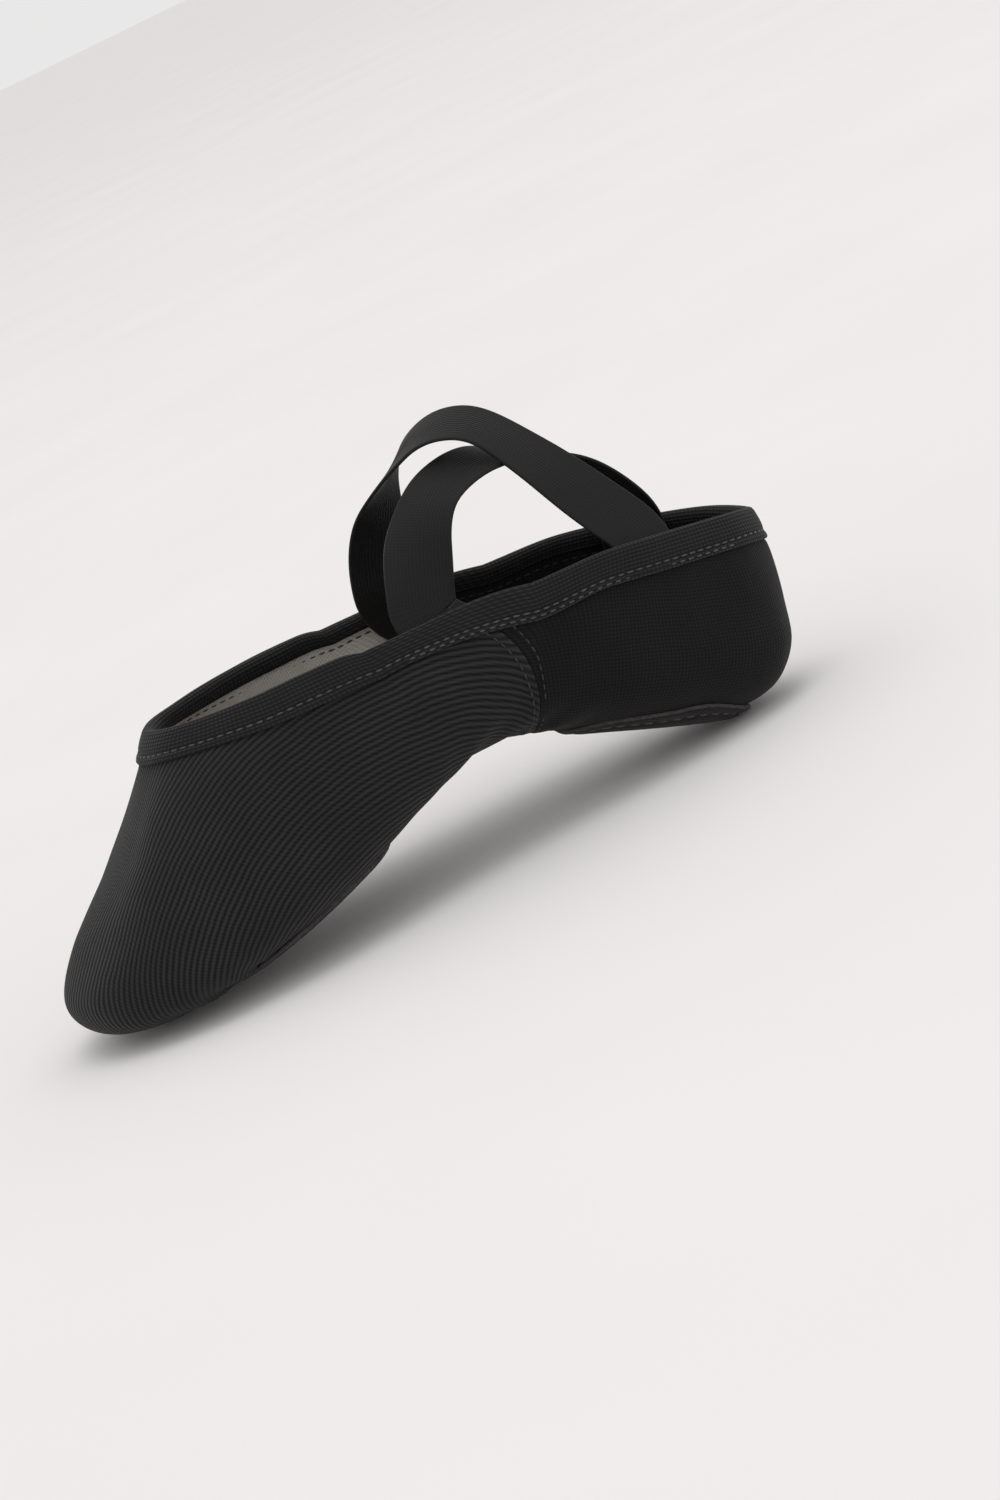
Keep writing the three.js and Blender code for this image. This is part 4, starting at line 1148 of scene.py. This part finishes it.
class SLIPPER_OT_lining(bpy.types.Operator):
    """Fit the off-white front lining and the black heel lining"""

    bl_idname = "slipper.lining"
    bl_label = "Linings"

    def execute(self, context):
        white, black = finish("lining"), finish("lining_black")
        lining("front_cotton_lining", -ARCH_KEY, ARCH_KEY, white, ("front_lining",))
        lining("heel_cotton_lining", ARCH_KEY, RING - ARCH_KEY, black, ("rear_lining",))
        return {"FINISHED"}


class SLIPPER_OT_binding(bpy.types.Operator):
    """Fold and stitch the tape round the rim"""

    bl_idname = "slipper.binding"
    bl_label = "Rim binding"

    def execute(self, context):
        binding()
        binding_stitches()
        return {"FINISHED"}


class SLIPPER_OT_sole(bpy.types.Operator):
    """Sew the suede patches and the waist seam"""

    bl_idname = "slipper.sole"
    bl_label = "Split sole"

    def execute(self, context):
        sole("forefoot", "forefoot", FORE_PATCH, False)
        sole("heel", "heel", HEEL_PATCH, True)
        centre_seam()
        return {"FINISHED"}


class SLIPPER_OT_insole(bpy.types.Operator):
    """Lay the foam pads and their covers"""

    bl_idname = "slipper.insole"
    bl_label = "Insole"

    def execute(self, context):
        insoles("forefoot", "forefoot", FORE_PATCH)
        insoles("heel", "heel", HEEL_PATCH)
        return {"FINISHED"}


class SLIPPER_OT_straps(bpy.types.Operator):
    """Cross the two elastics over the instep"""

    bl_idname = "slipper.straps"
    bl_label = "Crossed elastics"

    def execute(self, context):
        sizes = context.scene.slipper_sizes
        under = strap("under_elastic", 1, UNDER_PATH, UNDER_LEAN, "under_strap", "strap_under", sizes)
        over = strap("over_elastic", -1, OVER_PATH, OVER_LEAN, "over_strap", "strap_over", sizes)
        tail_stitches([under, over])
        return {"FINISHED"}


def soft_light(name, place, aim, size, power):
    data = bpy.data.lights.new(name, "AREA")
    data.shape, data.size, data.size_y, data.energy = "RECTANGLE", size[0], size[1], power
    lamp = bpy.data.objects.new(name, data)
    COLLECTION.objects.link(lamp)
    lamp.location = place
    lamp.rotation_euler = (Vector(aim) - Vector(place)).to_track_quat("-Z", "Y").to_euler()


class SLIPPER_OT_stage(bpy.types.Operator):
    """Set up the paper floor, the soft light and the camera"""

    bl_idname = "slipper.stage"
    bl_label = "Studio"

    def execute(self, context):
        studio = context.scene.slipper_studio
        half = studio.floor_size / 2
        mesh = bpy.data.meshes.new("paper_floor")
        corners = [(-half, -half, 0), (half, -half, 0), (half, half, 0), (-half, half, 0)]
        mesh.from_pydata(corners, [], [(0, 1, 2, 3)])
        mesh.materials.append(finish("paper"))
        floor = bpy.data.objects.new("paper_floor", mesh)
        COLLECTION.objects.link(floor)
        world = bpy.data.worlds.new("studio")
        world.use_nodes = True
        world.node_tree.nodes["Background"].inputs["Color"].default_value = (*studio.surround, 1)
        world.node_tree.nodes["Background"].inputs["Strength"].default_value = 0.91
        context.scene.world = world
        soft_light("key", (-0.6, 0.9, 6.0), (0, 0, 0.03), (3.2, 3.2), studio.key_power)
        soft_light("fill", (-4.0, 4.0, 2.2), (0, 0, 0.05), (2.5, 2.5), studio.fill_power)
        context.scene.view_settings.view_transform = "Standard"
        self.place_camera(context)
        return {"FINISHED"}

    def place_camera(self, context):
        """A long lens low on the outer side, a little to the toe, rolled so that the toe is down."""
        yaw, rise, roll, away = 8 * DEG, 12.2 * DEG, 26 * DEG, 0.985
        target = Vector((0, 0, 0.045))
        back = Vector((math.sin(yaw) * math.cos(rise), math.cos(yaw) * math.cos(rise), math.sin(rise)))
        right = Vector((0, 0, 1)).cross(back).normalized()
        up = back.cross(right)
        x_axis = right * math.cos(roll) - up * math.sin(roll)
        y_axis = right * math.sin(roll) + up * math.cos(roll)
        data = bpy.data.cameras.new("camera")
        data.lens, data.sensor_width = 85, 36
        data.shift_x, data.shift_y = 0.068667, -0.022667
        data.clip_start = 0.01
        camera = bpy.data.objects.new("camera", data)
        COLLECTION.objects.link(camera)
        turn = Matrix((x_axis, y_axis, back)).transposed().to_4x4()
        camera.matrix_world = Matrix.Translation(target + back * away) @ turn
        context.scene.camera = camera


OPERATORS = (SLIPPER_OT_stage, SLIPPER_OT_canvas, SLIPPER_OT_lining, SLIPPER_OT_binding, SLIPPER_OT_sole,
             SLIPPER_OT_insole, SLIPPER_OT_straps)


class SLIPPER_PT_panel(bpy.types.Panel):
    """Steps of the slipper, in order"""

    bl_label = "Ballet slipper"
    bl_idname = "SLIPPER_PT_panel"
    bl_space_type = "VIEW_3D"
    bl_region_type = "UI"
    bl_category = "Slipper"

    def draw(self, context):
        for group in (context.scene.slipper_sizes, context.scene.slipper_studio):
            for key in group.__annotations__:
                self.layout.prop(group, key)
        for operator in OPERATORS:
            self.layout.operator(operator.bl_idname)


CLASSES = (SlipperSizes, SlipperStudio, *OPERATORS, SLIPPER_PT_panel)


def register():
    for each in CLASSES:
        bpy.utils.register_class(each)
    bpy.types.Scene.slipper_sizes = bpy.props.PointerProperty(type=SlipperSizes)
    bpy.types.Scene.slipper_studio = bpy.props.PointerProperty(type=SlipperStudio)


def unregister():
    del bpy.types.Scene.slipper_studio
    del bpy.types.Scene.slipper_sizes
    for each in reversed(CLASSES):
        bpy.utils.unregister_class(each)


def main():
    register()
    for operator in OPERATORS:
        group, step = operator.bl_idname.split(".")
        getattr(getattr(bpy.ops, group), step)()


if __name__ == "__main__":
    main()
